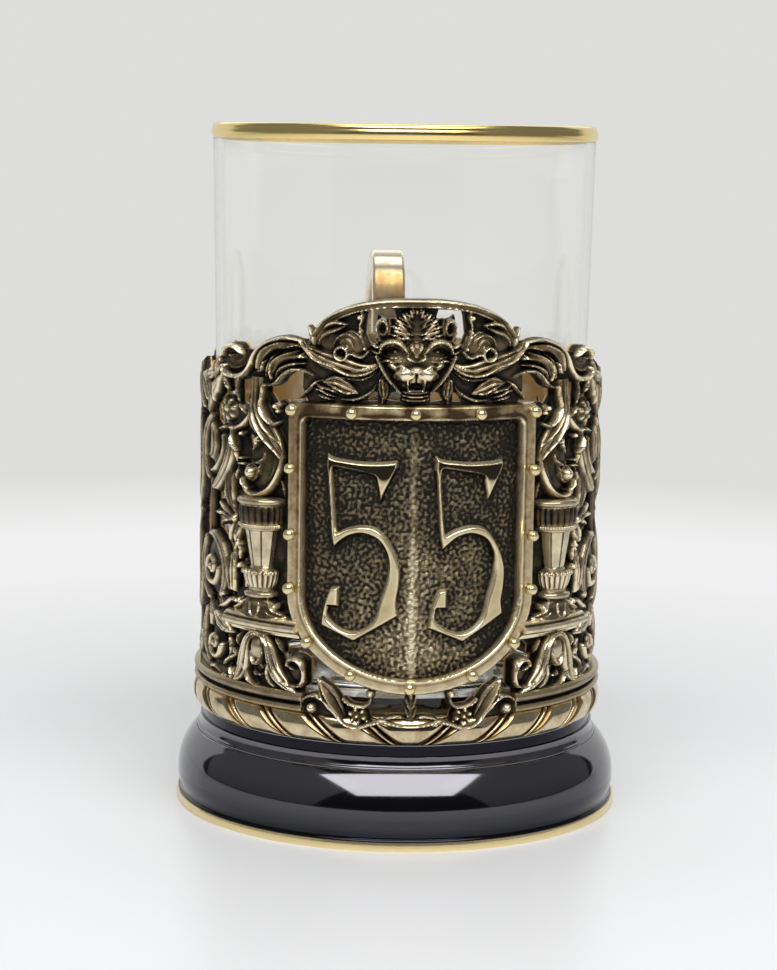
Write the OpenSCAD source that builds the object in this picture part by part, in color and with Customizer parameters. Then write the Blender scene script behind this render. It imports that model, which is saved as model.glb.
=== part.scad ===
/* [Glass] */
// Outer radius of the tea glass at its rim
glass_rim_r = 35; // [34:0.1:36.5]
// Outer radius of the tea glass at its base
glass_base_r = 33; // [31:0.1:33.8]
// Height of the tea glass
glass_h = 107.3; // [98:0.2:115]
// Thickness of the glass wall
glass_wall = 1.6; // [1.2:0.1:2.5]
// Thickness of the glass base
glass_base_t = 7; // [4:0.5:10]
// Rounding of the lower edge of the glass
glass_edge_r = 2; // [1:0.1:3]
// Depth of the hollow under the glass
glass_kick = 0.8; // [0.4:0.1:1.5]
// Height of the gilt band at the rim
gilt_h = 2.7; // [2:0.1:6]
// Thickness of the gilt band
gilt_t = 0.25; // [0.15:0.05:0.4]

/* [Foot] */
// Height of the brass edge
edge_h = 1.6; // [1:0.1:2.5]
// Step from the band out to the brass edge that the holder stands on
band_step = 0.3; // [0.2:0.05:0.6]
// Top of that band, above the table
band_top = 5.9; // [4.5:0.1:7]
// Step from the lower end of the bell out to the band
bell_step = 0.6; // [0.4:0.05:1]
// How far the bell spreads from its top to its lower end
bell_draw = 2.7; // [2:0.1:3]
// Height of the top of the bell
bell_top = 13.3; // [12:0.1:14]
// Step from the fillet under the collar out to the bell
fillet_step = 0.5; // [0.3:0.05:0.8]
// How far the fillet stands out from the seat plate
fillet_out = 0.8; // [0.5:0.05:1.2]
// Height of the whole foot
foot_h = 15.8; // [15:0.1:17]
// Wall of the foot casting
foot_wall = 2; // [1.5:0.1:3]

/* [Seat and collar] */
// How far the plate that the glass stands on reaches under the collar
seat_lip = 1.35; // [1:0.05:1.8]
// Thickness of the seat plate
seat_t = 2; // [1.5:0.1:3]
// Height of the rope collar
rope_h = 5.2; // [4:0.1:7]
// How far the rope bulges from its edges
rope_bulge = 1.8; // [1.2:0.1:2.4]
// Number of lobes of the rope
rope_lobes = 24; // [16:2:32]
// Width of one diagonal rib of the rope
rib_w = 0.7; // [0.4:0.1:1]
// Height of the ribs above the lobes
rib_h = 0.3; // [0.2:0.05:0.5]
// Height of the plain moulding above the rope
moulding_h = 3.3; // [2.6:0.1:4.5]
// Radius of the fastening bolt's shank
bolt_r = 2.5; // [2:0.1:3]
// Radius of the bolt's countersunk head
bolt_head_r = 4.6; // [4:0.1:5.5]

/* [Openwork wall] */
// Clearance between the glass and the wall where they are closest
glass_gap = 0.5; // [0.4:0.05:1.5]
// Thickness of the web of the castings
web_t = 1.6; // [1.2:0.1:2.2]
// Height of the ornament above the web
relief_t = 1.5; // [1:0.1:2]
// Height of the side castings above the moulding
side_h = 57.7; // [52:0.1:64]
// Width of the main scroll stems
stem_w = 2; // [1.6:0.1:2.6]
// Gap left for solder between neighbouring castings
solder_gap = 0.1; // [0.05:0.01:0.15]

/* [Shield] */
// Half width of the shield, seen from the front
shield_half_w = 22.2; // [20:0.1:22.6]
// How far the shield's top stays below the top of the side castings
shield_drop = 6.3; // [5:0.1:9]
// Height of the rounded lower end of the shield
shield_round = 17; // [13:0.1:20]
// Width of the riveted strap round the shield
strap_w = 2.9; // [2.2:0.1:3.6]
// How far the strap stands in front of the web
strap_t = 1.8; // [1.4:0.1:2.4]
// Radius of a rivet head
rivet_r = 0.95; // [0.7:0.05:1]

/* [Crest] */
// Height of the crest's arch above the shield
crest_h = 18; // [16:0.1:20]
// Half width of the arch, seen from the front
arch_half_w = 18.6; // [17:0.1:19.4]
// Rise of the arch from its ends to its top
arch_rise = 6.1; // [5:0.1:7]
// Width of the arch's moulded band
arch_w = 2; // [1.6:0.1:2.6]
// Half width of the lion mask
lion_half_w = 5.7; // [5:0.1:6.2]

/* [Urns] */
// Height of each urn above its plinth
urn_h = 21; // [18:0.1:22]
// Largest radius of an urn
urn_r = 5.2; // [4.4:0.1:5.6]
// Height of the plinth slab under an urn
plinth_h = 3; // [2.2:0.1:3.6]

/* [Handle] */
// Width of the handle bar
bar_w = 6.8; // [6:0.1:9]
// Thickness of the handle bar
bar_t = 4.2; // [3.4:0.1:5]
// Reach of the handle behind the wall
handle_reach = 36; // [30:0.5:42]
// Height of the thumb rest above the side castings
thumb_rise = 16; // [10:0.5:18]
// Width of the back strap that carries the handle
back_w = 12; // [10:0.5:16]
// Radius of the handle screws
screw_r = 1.5; // [1.2:0.1:1.8]

/* [Hidden] */
$fn = 128;

// Places that follow from the sizes above, in the order from foot to rim
over = 1;                                   // overrun of every cut
seat_z = foot_h + seat_t;                   // the glass stands here
rope_top = seat_z + rope_h;
wall_z = rope_top + moulding_h;             // side castings start here
side_top = wall_z + side_h;
tip_drop_share = 0.8;                       // the shield's tip hangs into the moulding
shield_z = wall_z + moulding_h * (1 - tip_drop_share);
shield_top = side_top - shield_drop;
shield_h = shield_top - shield_z;
crest_top = shield_top + crest_h;
thumb_top = side_top + thumb_rise;
glass_top = seat_z + glass_h;

// Radii of the wall: its inside, its web, its ornament, its boldest parts
function glass_r(z) = glass_base_r + (glass_rim_r - glass_base_r) * (z - seat_z) / glass_h;
wall_in = max(glass_r(crest_top), glass_base_r) + glass_gap;
web_r = wall_in + web_t;
relief_r = web_r + relief_t;
strap_r = web_r + strap_t;
field_r = web_r - web_t / 4;
boss_r = relief_r + relief_t;
back_y = relief_r;

// Radii of the seat and the foot, each a step out from the one above
seat_r = wall_in + seat_lip;
fillet_r = seat_r + fillet_out;
bell_top_r = fillet_r + fillet_step;
bell_r = bell_top_r + bell_draw;
band_r = bell_r + bell_step;
edge_r = band_r + band_step;

// Bolt stack: the countersunk head stays just under the glass
head_z = foot_h + seat_t / 4;
washer_t = foot_wall / 2;
washer_z = foot_h - foot_wall - washer_t;
nut_t_share = 1.6;
nut_t = bolt_r * nut_t_share;

// Angles from the front that divide the wall
shield_a = asin(shield_half_w / strap_r);
arch_a = asin(arch_half_w / relief_r);
garland_a = 30;
urn_a = 44.5;
stem_a = 55;
leaf_end_a = 61;
side_a = 124;
tuck_a = 6;                                 // how far cells run in behind the shield
gap_a = asin(solder_gap / wall_in) / 2;
back_a = asin(back_w / 2 / wall_in);

// Heights of the ornament
garland_h = shield_round / 3;
arch_r = (arch_half_w * arch_half_w + arch_rise * arch_rise) / (2 * arch_rise);
leaf_h_share = 0.09;
leaf_h = side_h * leaf_h_share;
leaf_z = side_top - leaf_h;
leaf_top = side_top + leaf_h;
console_h_share = 0.17;
console_h = side_h * console_h_share;
plinth_z = wall_z + console_h;
urn_top = plinth_z + plinth_h + urn_h;
nub_share = 0.6;
leaf_cell = [arch_a + 2 * gap_a, leaf_end_a - gap_a, leaf_z, leaf_top];
stem_cell = [shield_a - tuck_a, stem_a - gap_a, urn_top + solder_gap, leaf_z - solder_gap];

// Handle fixings
screw_z = [wall_z + 2 * bar_t, side_top - back_w];

// Solid parts of a wall from radius a to radius b and height z0 to z1
module ring(a, b, z0, z1) {
    translate([0, 0, z0]) difference() {
        cylinder(r = b, h = z1 - z0);
        translate([0, 0, -over]) cylinder(r = a, h = z1 - z0 + 2 * over);
    }
}

// Draws on the wall as seen along angle a, from height z up
module on_wall(a, z, r) {
    rotate([0, 0, a]) translate([0, 0, z]) rotate([90, 0, 0])
        linear_extrude(height = r) children();
}

// Lays a drawing of the front view against the front of the wall
module on_front(r) {
    rotate([90, 0, 0]) linear_extrude(height = r) children();
}

// Mirrors the right half of a piece to the left
module side(left) {
    if (left) mirror([1, 0, 0]) children();
    else children();
}

// A leaf between two tips: rise bends it to the left of the way from p to q
module leaf(p, q, rise, belly) {
    c = norm(q - p);
    turn = atan2(q.y - p.y, q.x - p.x);
    outer = rise + belly / 2;
    inner = rise - belly / 2;
    translate((p + q) / 2) rotate(turn) {
        if (inner > 0) difference() { cap(c, outer); cap(c, inner); }
        else if (outer < 0) difference() { rotate(180) cap(c, -inner); rotate(180) cap(c, -outer); }
        else intersection() { cap(c, outer); rotate(180) cap(c, -inner); }
    }
}

// The round that passes through both ends of a chord with a given rise
module cap(chord, rise) {
    r = (chord * chord / 4 + rise * rise) / (2 * rise);
    translate([0, rise - r]) circle(r, $fn = 240);
}

// A scroll: half rings that shrink as they turn in, round an eye
module scroll(p, r, w, start, turn, halves) {
    k = 0.66;
    translate(p) rotate(start) mirror([0, turn < 0 ? 1 : 0]) half_rings(r, w, k, halves);
}

module half_rings(r, w, k, halves) {
    intersection() {
        difference() { circle(r); circle(r - w); }
        translate([-r - w, -w / 8]) square([2 * (r + w), r + w]);
    }
    if (halves > 1) translate([r * (1 - k), 0]) rotate(180) half_rings(r * k, w * k, k, halves - 1);
    else translate([r - w * 1.2, 0]) circle(w * 1.2);
}

// A cell of the wall: first and last angle, lowest and highest place
module cell_solid(c, r) {
    rotate([0, 0, c[0] - 90]) rotate_extrude(angle = c[1] - c[0])
        translate([wall_in, c[2]]) square([r - wall_in, c[3] - c[2]]);
}

// The round part of a profile: points on an arc from p to q
function arc(p, q, rise, n = 12) =
    let (c = norm(q - p), r = (c * c / 4 + rise * rise) / (2 * rise),
        d = (q - p) / c, side = [d.y, -d.x], m = (p + q) / 2 - side * (r - rise),
        half = asin(c / 2 / r))
    [for (i = [0:n]) let (a = -half + 2 * half * i / n) m + side * r * cos(a) + d * r * sin(a)];

module foot() {
    lip = (band_r - bell_r) / 2;
    hole = bolt_r + solder_gap;
    color("#2e2c33") rotate_extrude() polygon(concat(
        [[band_r - foot_wall, edge_h], [band_r, edge_h], [band_r, band_top]],
        arc([bell_r, band_top + lip], [bell_top_r, bell_top], foot_wall / 2),
        [[fillet_r - lip, bell_top], [fillet_r - lip, bell_top + lip],
         [fillet_r, bell_top + 2 * lip], [fillet_r, foot_h], [hole, foot_h],
         [hole, foot_h - foot_wall], [bell_top_r - 2 * foot_wall, foot_h - foot_wall],
         [bell_r - foot_wall * 1.5, band_top]]));
}

module foot_edge() {
    t = edge_r - band_r + foot_wall;
    color("#c9ab6d") rotate_extrude() translate([edge_r - t, 0]) difference() {
        square([t, edge_h]);
        translate([t, edge_h]) rotate(45) square((edge_r - band_r) * [1, 1], center = true);
    }
}

module seat_plate() {
    color("#8a7340") difference() {
        translate([0, 0, foot_h]) cylinder(r = seat_r, h = seat_t);
        translate([0, 0, foot_h - over]) cylinder(r = bolt_r + solder_gap, h = seat_t + 2 * over);
        translate([0, 0, head_z]) cylinder(r1 = bolt_r + solder_gap,
            r2 = bolt_head_r + solder_gap, h = seat_z - head_z);
    }
}

module centre_bolt() {
    tail = washer_z - nut_t - bolt_r / 2;
    color("#b9b4a8") {
        translate([0, 0, head_z]) cylinder(r1 = bolt_r, r2 = bolt_head_r, h = seat_z - head_z - solder_gap);
        translate([0, 0, tail]) cylinder(r = bolt_r, h = head_z - tail);
    }
}

module bolt_washer() {
    color("#b9b4a8") ring(bolt_r + solder_gap, bolt_r * 2.4, washer_z, washer_z + washer_t);
}

module bolt_nut() {
    color("#b9b4a8") translate([0, 0, washer_z - nut_t]) difference() {
        cylinder(r = bolt_r * 1.85, h = nut_t, $fn = 6);
        translate([0, 0, -over]) cylinder(r = bolt_r + solder_gap, h = nut_t + 2 * over);
    }
}

// Half-round section of the rope, bulging by b
module rope_section(b) {
    edge = relief_r - rope_bulge;
    r = (rope_h * rope_h / 4 + b * b) / (2 * b);
    translate([wall_in, seat_z]) square([edge - wall_in, rope_h]);
    intersection() {
        translate([edge + b - r, seat_z + rope_h / 2]) circle(r);
        translate([edge - over / 2, seat_z]) square([b + over, rope_h]);
    }
}

// Pairs of diagonal grooves, leaning away from the front on both sides
rope_lean = 38;
module rope_collar() {
    pitch = 360 / rope_lobes;
    color("#a88c50") difference() {
        rotate_extrude() rope_section(rope_bulge);
        for (i = [0:rope_lobes - 1], s = [-1, 1])
            rope_groove(pitch * (i + 0.5), s * rib_w);
    }
}

module rope_groove(a, shift) {
    way = a < 180 ? -1 : 1;
    rotate([0, 0, a]) translate([0, -relief_r + rib_h, seat_z + rope_h / 2])
        rotate([0, way * rope_lean, 0]) translate([shift - rib_w / 2, -rope_h, -rope_h])
            cube([rib_w, rope_h, 2 * rope_h]);
}

module lower_moulding() {
    h = moulding_h;
    fine = relief_t / 3;
    color("#8f7644") rotate([0, 0, garland_a - 90]) rotate_extrude(angle = 360 - 2 * garland_a)
        polygon([[wall_in, rope_top], [relief_r - fine, rope_top], [relief_r - fine, rope_top + h * 0.35],
            [web_r, rope_top + h * 0.45], [web_r, rope_top + h * 0.55],
            [relief_r, rope_top + h * 0.65], [relief_r, rope_top + h * 0.9],
            [relief_r - fine, wall_z], [wall_in, wall_z]]);
}

// Outline of the shield in the front view, drawn in by d
function shield_points(d) = let (w = shield_half_w - d, b = shield_round - d,
        zc = shield_z + shield_round, n = 32)
    concat([[w, shield_top - d]],
        [for (i = [0:n]) [w * cos(180 * i / n), zc - b * sin(180 * i / n)]],
        [[-w, shield_top - d]]);

// Flat strap with a thin raised edge on its inner side
module shield_frame() {
    fine = strap_w / 10;
    c = [-shield_a - tuck_a, shield_a + tuck_a, shield_z - over, shield_top + over];
    color("#b2955a") difference() {
        intersection() {
            cell_solid(c, strap_r + fine);
            on_front(boss_r) difference() {
                polygon(shield_points(0));
                polygon(shield_points(strap_w));
            }
        }
        intersection() {
            ring(strap_r, boss_r + over, c[2], c[3]);
            on_front(boss_r + 2 * over) difference() {
                polygon(shield_points(-over));
                polygon(shield_points(strap_w - fine));
            }
        }
        at_rivets() cylinder(r = rivet_r + solder_gap, h = relief_t);
    }
}

module shield_field() {
    ridge = strap_w / 4;
    inset = strap_w + solder_gap;
    color("#3a3322") {
        intersection() {
            cell_solid([-shield_a, shield_a, shield_z, shield_top], field_r);
            on_front(strap_r) polygon(shield_points(inset));
        }
        translate([0, -field_r + ridge, shield_z + inset]) linear_extrude(height = shield_h - 2 * inset)
            polygon([[-ridge, 0], [0, -2 * ridge], [ridge, 0]]);
    }
}

// Places of the rivets: across the top, down the sides, round the lower end
rivet_top_shares = [-1, -0.5, 0, 0.5, 1];
rivet_side_shares = [0.77, 0.53, 0.32];
rivet_round_angles = [30, 56, 90, 124, 150];
function rivet_points() = let (m = strap_w / 2, w = shield_half_w - m)
    concat([for (s = rivet_top_shares) [s * w, shield_top - m]],
        [for (s = rivet_side_shares, side = [-1, 1]) [side * w, shield_z + s * shield_h]],
        [for (a = rivet_round_angles)
            [w * cos(a), shield_z + shield_round - (shield_round - m) * sin(a)]]);

module at_rivets() {
    for (p = rivet_points()) translate([0, 0, p.y]) rotate([0, 0, asin(p.x / strap_r)])
        rotate([90, 0, 0]) translate([0, 0, strap_r - rivet_r / 5]) children();
}

module shield_rivets() {
    color("#e2cf9c") at_rivets() rotate_extrude() intersection() {
        circle(rivet_r);
        square([rivet_r, rivet_r]);
    }
}

// What the castings next to the shield leave free
module shield_clear() {
    on_front(boss_r + over) polygon(shield_points(-solder_gap));
}

// Leaves and a post under the tip of the shield
module garland() {
    w = relief_r * sin(garland_a);
    low = rope_top;
    h = garland_h;
    c = [gap_a - garland_a, garland_a - gap_a, rope_top, wall_z + h];
    color("#9c8148") difference() {
        union() {
            intersection() {
                cell_solid(c, web_r);
                on_front(relief_r) {
                    translate([-stem_w / 2, low - over]) square([stem_w, shield_z - low + 2 * over]);
                    translate([-w * 1.1, low - over]) square([w * 2.2, stem_w / 2 + over]);
                    for (s = [-1, 1]) mirror([s < 0 ? 1 : 0, 0]) {
                        leaf([w * 0.1, low], [w * 0.96, low + h], -h * 0.35, stem_w);
                        scroll([w * 0.42, low + h * 0.4], h * 0.3, stem_w * 0.5, 180, 1, 2);
                    }
                }
            }
            intersection() {
                cell_solid(c, relief_r);
                on_front(relief_r + over) for (s = [-1, 1]) mirror([s < 0 ? 1 : 0, 0]) {
                    leaf([w * 0.3, low + h * 0.1], [w * 0.9, low + h * 0.9], -h * 0.3, stem_w * 0.8);
                    leaf([w * 0.06, low + stem_w / 3], [w * 0.45, low + stem_w / 3], -stem_w / 4, stem_w * 0.6);
                }
            }
        }
        shield_clear();
    }
}

// The arch over the mask: two mouldings on one bow, with a nub at each end
module bow(inset, w) {
    difference() {
        circle(arch_r - inset);
        circle(arch_r - inset - w);
    }
}

module crest_arch() {
    end_z = crest_top - arch_rise;
    spread = asin(arch_half_w / arch_r);
    nub = arch_w * nub_share;
    c = [-arch_a - tuck_a, arch_a + tuck_a, end_z - 3 * arch_w, crest_top + over];
    color("#a88c50") {
        arch_level(c, web_r, 0, arch_w, spread);
        arch_level(c, relief_r + relief_t / 3, 0, arch_w / 2, spread);
        for (s = [-1, 1]) intersection() {
            cell_solid(c, relief_r);
            on_front(boss_r) translate([s * arch_half_w, end_z]) circle(nub);
        }
    }
}

module arch_level(c, r, inset, w, spread) {
    intersection() {
        cell_solid(c, r);
        on_front(r + over) translate([0, crest_top - arch_r]) intersection() {
            bow(inset, w);
            polygon([[0, 0], [-arch_r * 2 * sin(spread), arch_r * 2 * cos(spread)],
                [arch_r * 2 * sin(spread), arch_r * 2 * cos(spread)]]);
        }
    }
}

// Free space under the arch, in the front view
module under_arch() {
    intersection() {
        translate([0, crest_top - arch_r]) circle(arch_r - arch_w - solder_gap);
        translate([-arch_half_w, shield_top + solder_gap])
            square([2 * arch_half_w, crest_h]);
    }
}

// Lion mask: mane tuft up to the arch, ears, brows, cheeks, muzzle and beard
module lion_mask() {
    w = lion_half_w;
    mid = shield_top + crest_h * 0.42;
    color("#7d6636") {
        mask_level(web_r) difference() {
            union() {
                translate([0, mid]) circle(w * 0.95);
                translate([-w, shield_top]) square([2 * w, crest_h * 0.3]);
                leaf([0, mid], [0, crest_top], 0, w * 1.1);
                for (s = [-1, 1]) {
                    leaf([s * w * 0.4, mid + w * 0.6], [s * w * 0.5, crest_top - arch_w], s * w * 0.1, w * 0.4);
                    translate([s * w * 0.74, mid + w * 0.82]) circle(w * 0.26);
                }
            }
            for (s = [-1, 1]) translate([s * w * 0.7, shield_top + w * 0.2]) circle(w * 0.15);
        }
        mask_level(relief_r) {
            difference() {
                translate([0, mid + w * 0.05]) circle(w * 0.78);
                for (s = [-1, 1]) translate([s * w * 0.36, mid + w * 0.22]) circle(w * 0.15);
            }
            translate([-w * 0.4, shield_top + w * 0.3]) square([w * 0.8, w]);
            leaf([0, mid + w * 0.6], [0, crest_top - arch_w], 0, w * 0.4);
        }
        mask_level(boss_r - relief_t / 3) {
            leaf([0, mid + w * 0.55], [0, mid - w * 0.35], 0, w * 0.3);
            translate([0, mid - w * 0.4]) circle(w * 0.3);
            for (s = [-1, 1]) {
                leaf([s * w * 0.05, mid + w * 0.42], [s * w * 0.66, mid + w * 0.36], -s * w * 0.12, w * 0.16);
                leaf([s * w * 0.2, mid - w * 0.5], [s * w * 0.6, mid], s * w * 0.1, w * 0.15);
            }
        }
    }
}

module mask_level(r) {
    intersection() {
        cell_solid([-arch_a, arch_a, shield_top + solder_gap, crest_top], r);
        on_front(r + over) intersection() {
            under_arch();
            union() children();
        }
    }
}

// Leaves and ringed scroll between mask and arch
module crest_scroll(left) {
    w = arch_half_w;
    h = crest_h;
    z = shield_top;
    near = lion_half_w;
    eye = [w * 0.68, z + h * 0.5];
    c = [0, arch_a, z, crest_top];
    color("#9c8148") side(left) {
        crest_level(web_r) {
            scroll(eye, h * 0.2, stem_w * 0.8, 200, -1, 2);
            leaf([w * 0.6, z], [w * 0.66, z + h * 0.4], h * 0.02, stem_w * 0.8);
            leaf([w * 0.56, z + h * 0.56], [w * 0.6, z + h * 0.9], h * 0.04, stem_w * 0.8);
            leaf([near, z + h * 0.3], [w * 1.02, z + h * 0.2], -h * 0.06, h * 0.16);
            leaf([near, z + h * 0.25], [w * 1.02, z + h * 0.06], h * 0.07, h * 0.1);
            leaf([near, z - over], [w * 1.02, z + h * 0.08], h * 0.03, h * 0.12);
            translate([near, z]) square([w - near, stem_w * 0.4]);
            leaf([w * 0.5, z + h * 0.62], [w * 0.9, z + h * 0.62], h * 0.16, h * 0.1);
            leaf([w * 0.42, z + h * 0.42], [w * 0.55, z + h * 0.86], h * 0.05, h * 0.12);
            leaf([w * 0.8, z + h * 0.2], [w * 0.97, z + h * 0.66], -h * 0.05, h * 0.12);
        }
        crest_level(relief_r) {
            leaf([near, z + h * 0.3], [w * 1.02, z + h * 0.22], -h * 0.05, h * 0.06);
            leaf([near, z + h * 0.2], [w * 1.02, z + h * 0.1], h * 0.04, h * 0.05);
            difference() { translate(eye) circle(h * 0.12); translate(eye) circle(h * 0.05); }
            leaf([w * 0.52, z + h * 0.66], [w * 0.88, z + h * 0.62], h * 0.15, h * 0.04);
        }
    }
}

module crest_level(r) {
    intersection() {
        cell_solid([0, arch_a, shield_top, crest_top], r);
        on_front(r + over) intersection() {
            union() children();
            under_arch();
            translate([lion_half_w + solder_gap, shield_top])
                square([arch_half_w, crest_h]);
        }
    }
}

// A piece of the wall in one cell: its web drawing and its relief drawing are the children
module casting(c) {
    middle = (c[0] + c[1]) / 2;
    intersection() {
        cell_solid(c, web_r);
        on_wall(middle, c[2], relief_r) children(0);
    }
    intersection() {
        cell_solid(c, relief_r);
        on_wall(middle, c[2], relief_r + over) children(1);
    }
}

// Acanthus along the top edge, from the arch to its curled end
module acanthus(left) {
    c = leaf_cell;
    h = c[3] - c[2];
    w = wall_in * sin((c[1] - c[0]) / 2);
    color("#9c8148") side(left) casting(c) {
        union() {
            leaf([-w, h * 0.25], [-w * 0.1, 0], h * 0.3, h * 0.5);
            leaf([-w * 0.7, h * 0.2], [w * 0.45, h * 0.05], h * 0.35, h * 0.4);
            leaf([-w * 0.2, h * 0.5], [w * 0.8, 0], h * 0.2, h * 0.35);
            scroll([w * 0.62, h * 0.4], h * 0.4, stem_w, 90, 1, 2);
            translate([-1.2 * w, 0]) square([2.2 * w, stem_w * 0.5]);
        }
        union() {
            leaf([-w * 0.95, h * 0.3], [-w * 0.1, h * 0.1], h * 0.35, h * 0.12);
            leaf([-w * 0.5, h * 0.4], [w * 0.5, h * 0.05], h * 0.25, h * 0.12);
            leaf([-w * 0.8, h * 0.02], [-w * 0.1, 0], h * 0.2, h * 0.1);
            translate([w * 0.62, h * 0.4]) circle(h * 0.14);
        }
    }
}

// Stem that swings down from the acanthus and rolls up over the urn
module stem_scroll(left) {
    c = stem_cell;
    h = c[3] - c[2];
    w = wall_in * sin((c[1] - c[0]) / 2);
    color("#9c8148") side(left) difference() {
        casting(c) {
            union() {
                scroll([0, h * 0.27], h * 0.27, stem_w, 90, -1, 3);
                leaf([w * 0.6, h * 1.05], [0, h * 0.5], -h * 0.16, stem_w * 1.6);
                leaf([-w, h * 0.9], [-w * 0.2, h * 0.4], h * 0.08, stem_w * 1.3);
                translate([-w * 1.1, 0]) square([w * 2.2, stem_w * 0.4]);
                translate([w - stem_w * 0.5, 0]) square([stem_w, h]);
                leaf([w * 0.2, h * 0.4], [w * 1.05, h * 0.62], h * 0.08, stem_w);
                leaf([-w * 1.1, h * 0.1], [-w * 0.5, h * 0.3], -h * 0.03, stem_w);
            }
            union() {
                leaf([w * 0.6, h * 1.05], [0, h * 0.5], -h * 0.16, stem_w * 0.7);
                translate([0, h * 0.27]) circle(h * 0.09);
                leaf([-w * 0.85, h * 0.86], [-w * 0.2, h * 0.42], h * 0.08, stem_w * 0.5);
            }
        }
        shield_clear();
    }
}

// Urn on its plinth: lip, fluted collar, tapering cup, fluted bowl, ring and spread foot
urn_profile_shares = [[0, 0], [0.8, 0], [0.84, 0.05], [0.5, 0.13], [0.58, 0.17], [0.58, 0.2],
    [0.42, 0.25], [0.64, 0.3], [0.66, 0.4], [0.5, 0.42], [0.62, 0.72], [0.66, 0.76], [0.6, 0.79],
    [0.9, 0.86], [0.94, 0.93], [1, 0.95], [1, 1], [0, 1]];
module urn(left) {
    z = plinth_z + plinth_h;
    c = [shield_a - tuck_a, stem_a - gap_a, z, urn_top];
    color("#b2955a") side(left) difference() {
        intersection() {
            rotate([0, 0, urn_a]) translate([0, -web_r, z]) rotate_extrude()
                polygon([for (s = urn_profile_shares) [s[0] * urn_r, s[1] * urn_h]]);
            cell_solid(c, boss_r + urn_r);
        }
        shield_clear();
    }
}

module plinth(left) {
    fine = plinth_h / 4;
    c = [shield_a - tuck_a, stem_a - gap_a, plinth_z, plinth_z + plinth_h];
    color("#b2955a") side(left) difference() {
        rotate([0, 0, c[0] - 90]) rotate_extrude(angle = c[1] - c[0])
            polygon([[wall_in, c[2]], [relief_r, c[2]], [relief_r + fine, c[2] + fine],
                [boss_r, c[2] + 2 * fine], [boss_r, c[3]], [wall_in, c[3]]]);
        shield_clear();
    }
}

// Bracket of leaves and two scrolled feet under the plinth
module console(left) {
    c = [garland_a + gap_a, stem_a - gap_a, wall_z, plinth_z];
    h = console_h;
    w = wall_in * sin((c[1] - c[0]) / 2);
    color("#9c8148") side(left) difference() {
        casting(c) {
            union() {
                leaf([w * 0.12, 0], [w * 0.12, h * 1.1], h * 0.01, h * 0.5);
                translate([-w * 1.1, 0]) square([w * 2.2, stem_w * 0.4]);
                for (s = [-1, 1]) translate([w * 0.12, 0]) mirror([s < 0 ? 1 : 0, 0]) {
                    leaf([h * 0.62, 0], [h * 0.15, h * 1.05], -h * 0.12, stem_w);
                    scroll([h * 0.5, h * 0.2], h * 0.24, stem_w * 0.6, 0, 1, 2);
                    leaf([h * 0.3, h * 0.9], [h * 1.1, h * 1.02], -h * 0.1, stem_w);
                }
            }
            union() {
                translate([w * 0.12, h / 2]) circle(h * 0.16);
                for (s = [-1, 1]) translate([w * 0.12, 0]) mirror([s < 0 ? 1 : 0, 0])
                    leaf([h * 0.58, h * 0.1], [h * 0.2, h * 0.95], -h * 0.12, stem_w * 0.45);
            }
        }
        shield_clear();
    }
}

// Symmetric openwork: palmette over paired scrolls, with rosettes in the corners
ray_angles = [22, 50, 78];
stem_share = 0.035;
band_shares = [0.66, 0.9];
module openwork(c, banded = false) {
    h = c[3] - c[2];
    w = wall_in * sin((c[1] - c[0]) / 2);
    stem = h * stem_share;
    rim = stem * 0.7;
    casting(c) {
        union() {
            translate([-w * 1.1, 0]) square([w * 2.2, rim]);
            translate([-rim, 0]) square([2 * rim, h * 0.9]);
            if (banded) translate([-w * 1.1, h * band_shares[0]])
                square([w * 2.2, h * (band_shares[1] - band_shares[0])]);
            for (s = [-1, 1]) mirror([s < 0 ? 1 : 0, 0]) {
                translate([w - rim, 0]) square([rim * 1.5, h * 0.86]);
                for (t = ray_angles)
                    leaf([rim / 2, h * 0.6], [w * 0.96 * sin(t), h * (0.6 + 0.38 * cos(t))], -h * 0.03, h * 0.055);
                scroll([w * 0.48, h * 0.38], h * 0.15, stem, 120, 1, 2);
                scroll([w * 0.5, h * 0.14], h * 0.13, stem, 0, -1, 2);
                leaf([0, h * 0.5], [w * 0.4, h * 0.46], h * 0.03, stem);
                leaf([w * 0.7, h * 0.47], [w * 1.02, h * 0.56], h * 0.05, stem);
                leaf([w * 0.7, h * 0.3], [w * 1.02, h * 0.2], -h * 0.03, stem);
                translate([w * 0.76, h * 0.88]) circle(stem * 1.5);
            }
        }
        union() {
            translate([0, h * 0.6]) circle(stem * 1.2);
            for (s = [-1, 1]) mirror([s < 0 ? 1 : 0, 0]) {
                translate([w * 0.76, h * 0.88]) circle(stem * 0.7);
                translate([w * 0.48, h * 0.38]) circle(h * 0.06);
                translate([w * 0.5, h * 0.14]) circle(h * 0.05);
                leaf([w * 0.25 , h * 0.66], [w * 0.7, h * 0.72], -h * 0.02, stem * 0.6);
                leaf([w * 0.3, h * 0.47], [w * 0.66, h * 0.5], h * 0.03, stem * 0.6);
                leaf([w * 0.34, h * 0.24], [w * 0.7, h * 0.25], h * 0.03, stem * 0.6);
            }
        }
    }
}

module side_panel(left) {
    color("#8f7644") side(left) openwork([stem_a + gap_a, side_a - gap_a, wall_z, side_top]);
}

module rear_panel(left) {
    color("#8f7644") side(left) openwork([side_a + gap_a, 180 - back_a - 2 * gap_a, wall_z, side_top], true);
}

// Flat-faced strap at the back that closes the wall and carries the handle
module back_strap() {
    color("#b2955a") difference() {
        translate([-back_w / 2, 0, rope_top]) cube([back_w, back_y, side_top - rope_top]);
        translate([0, 0, rope_top - over]) cylinder(r = wall_in, h = side_h + moulding_h + 2 * over);
        translate([0, 0, rope_top - over]) cylinder(r = relief_r + solder_gap, h = moulding_h + over);
        at_screws() cylinder(r = screw_r + solder_gap, h = back_y);
    }
}

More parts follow.
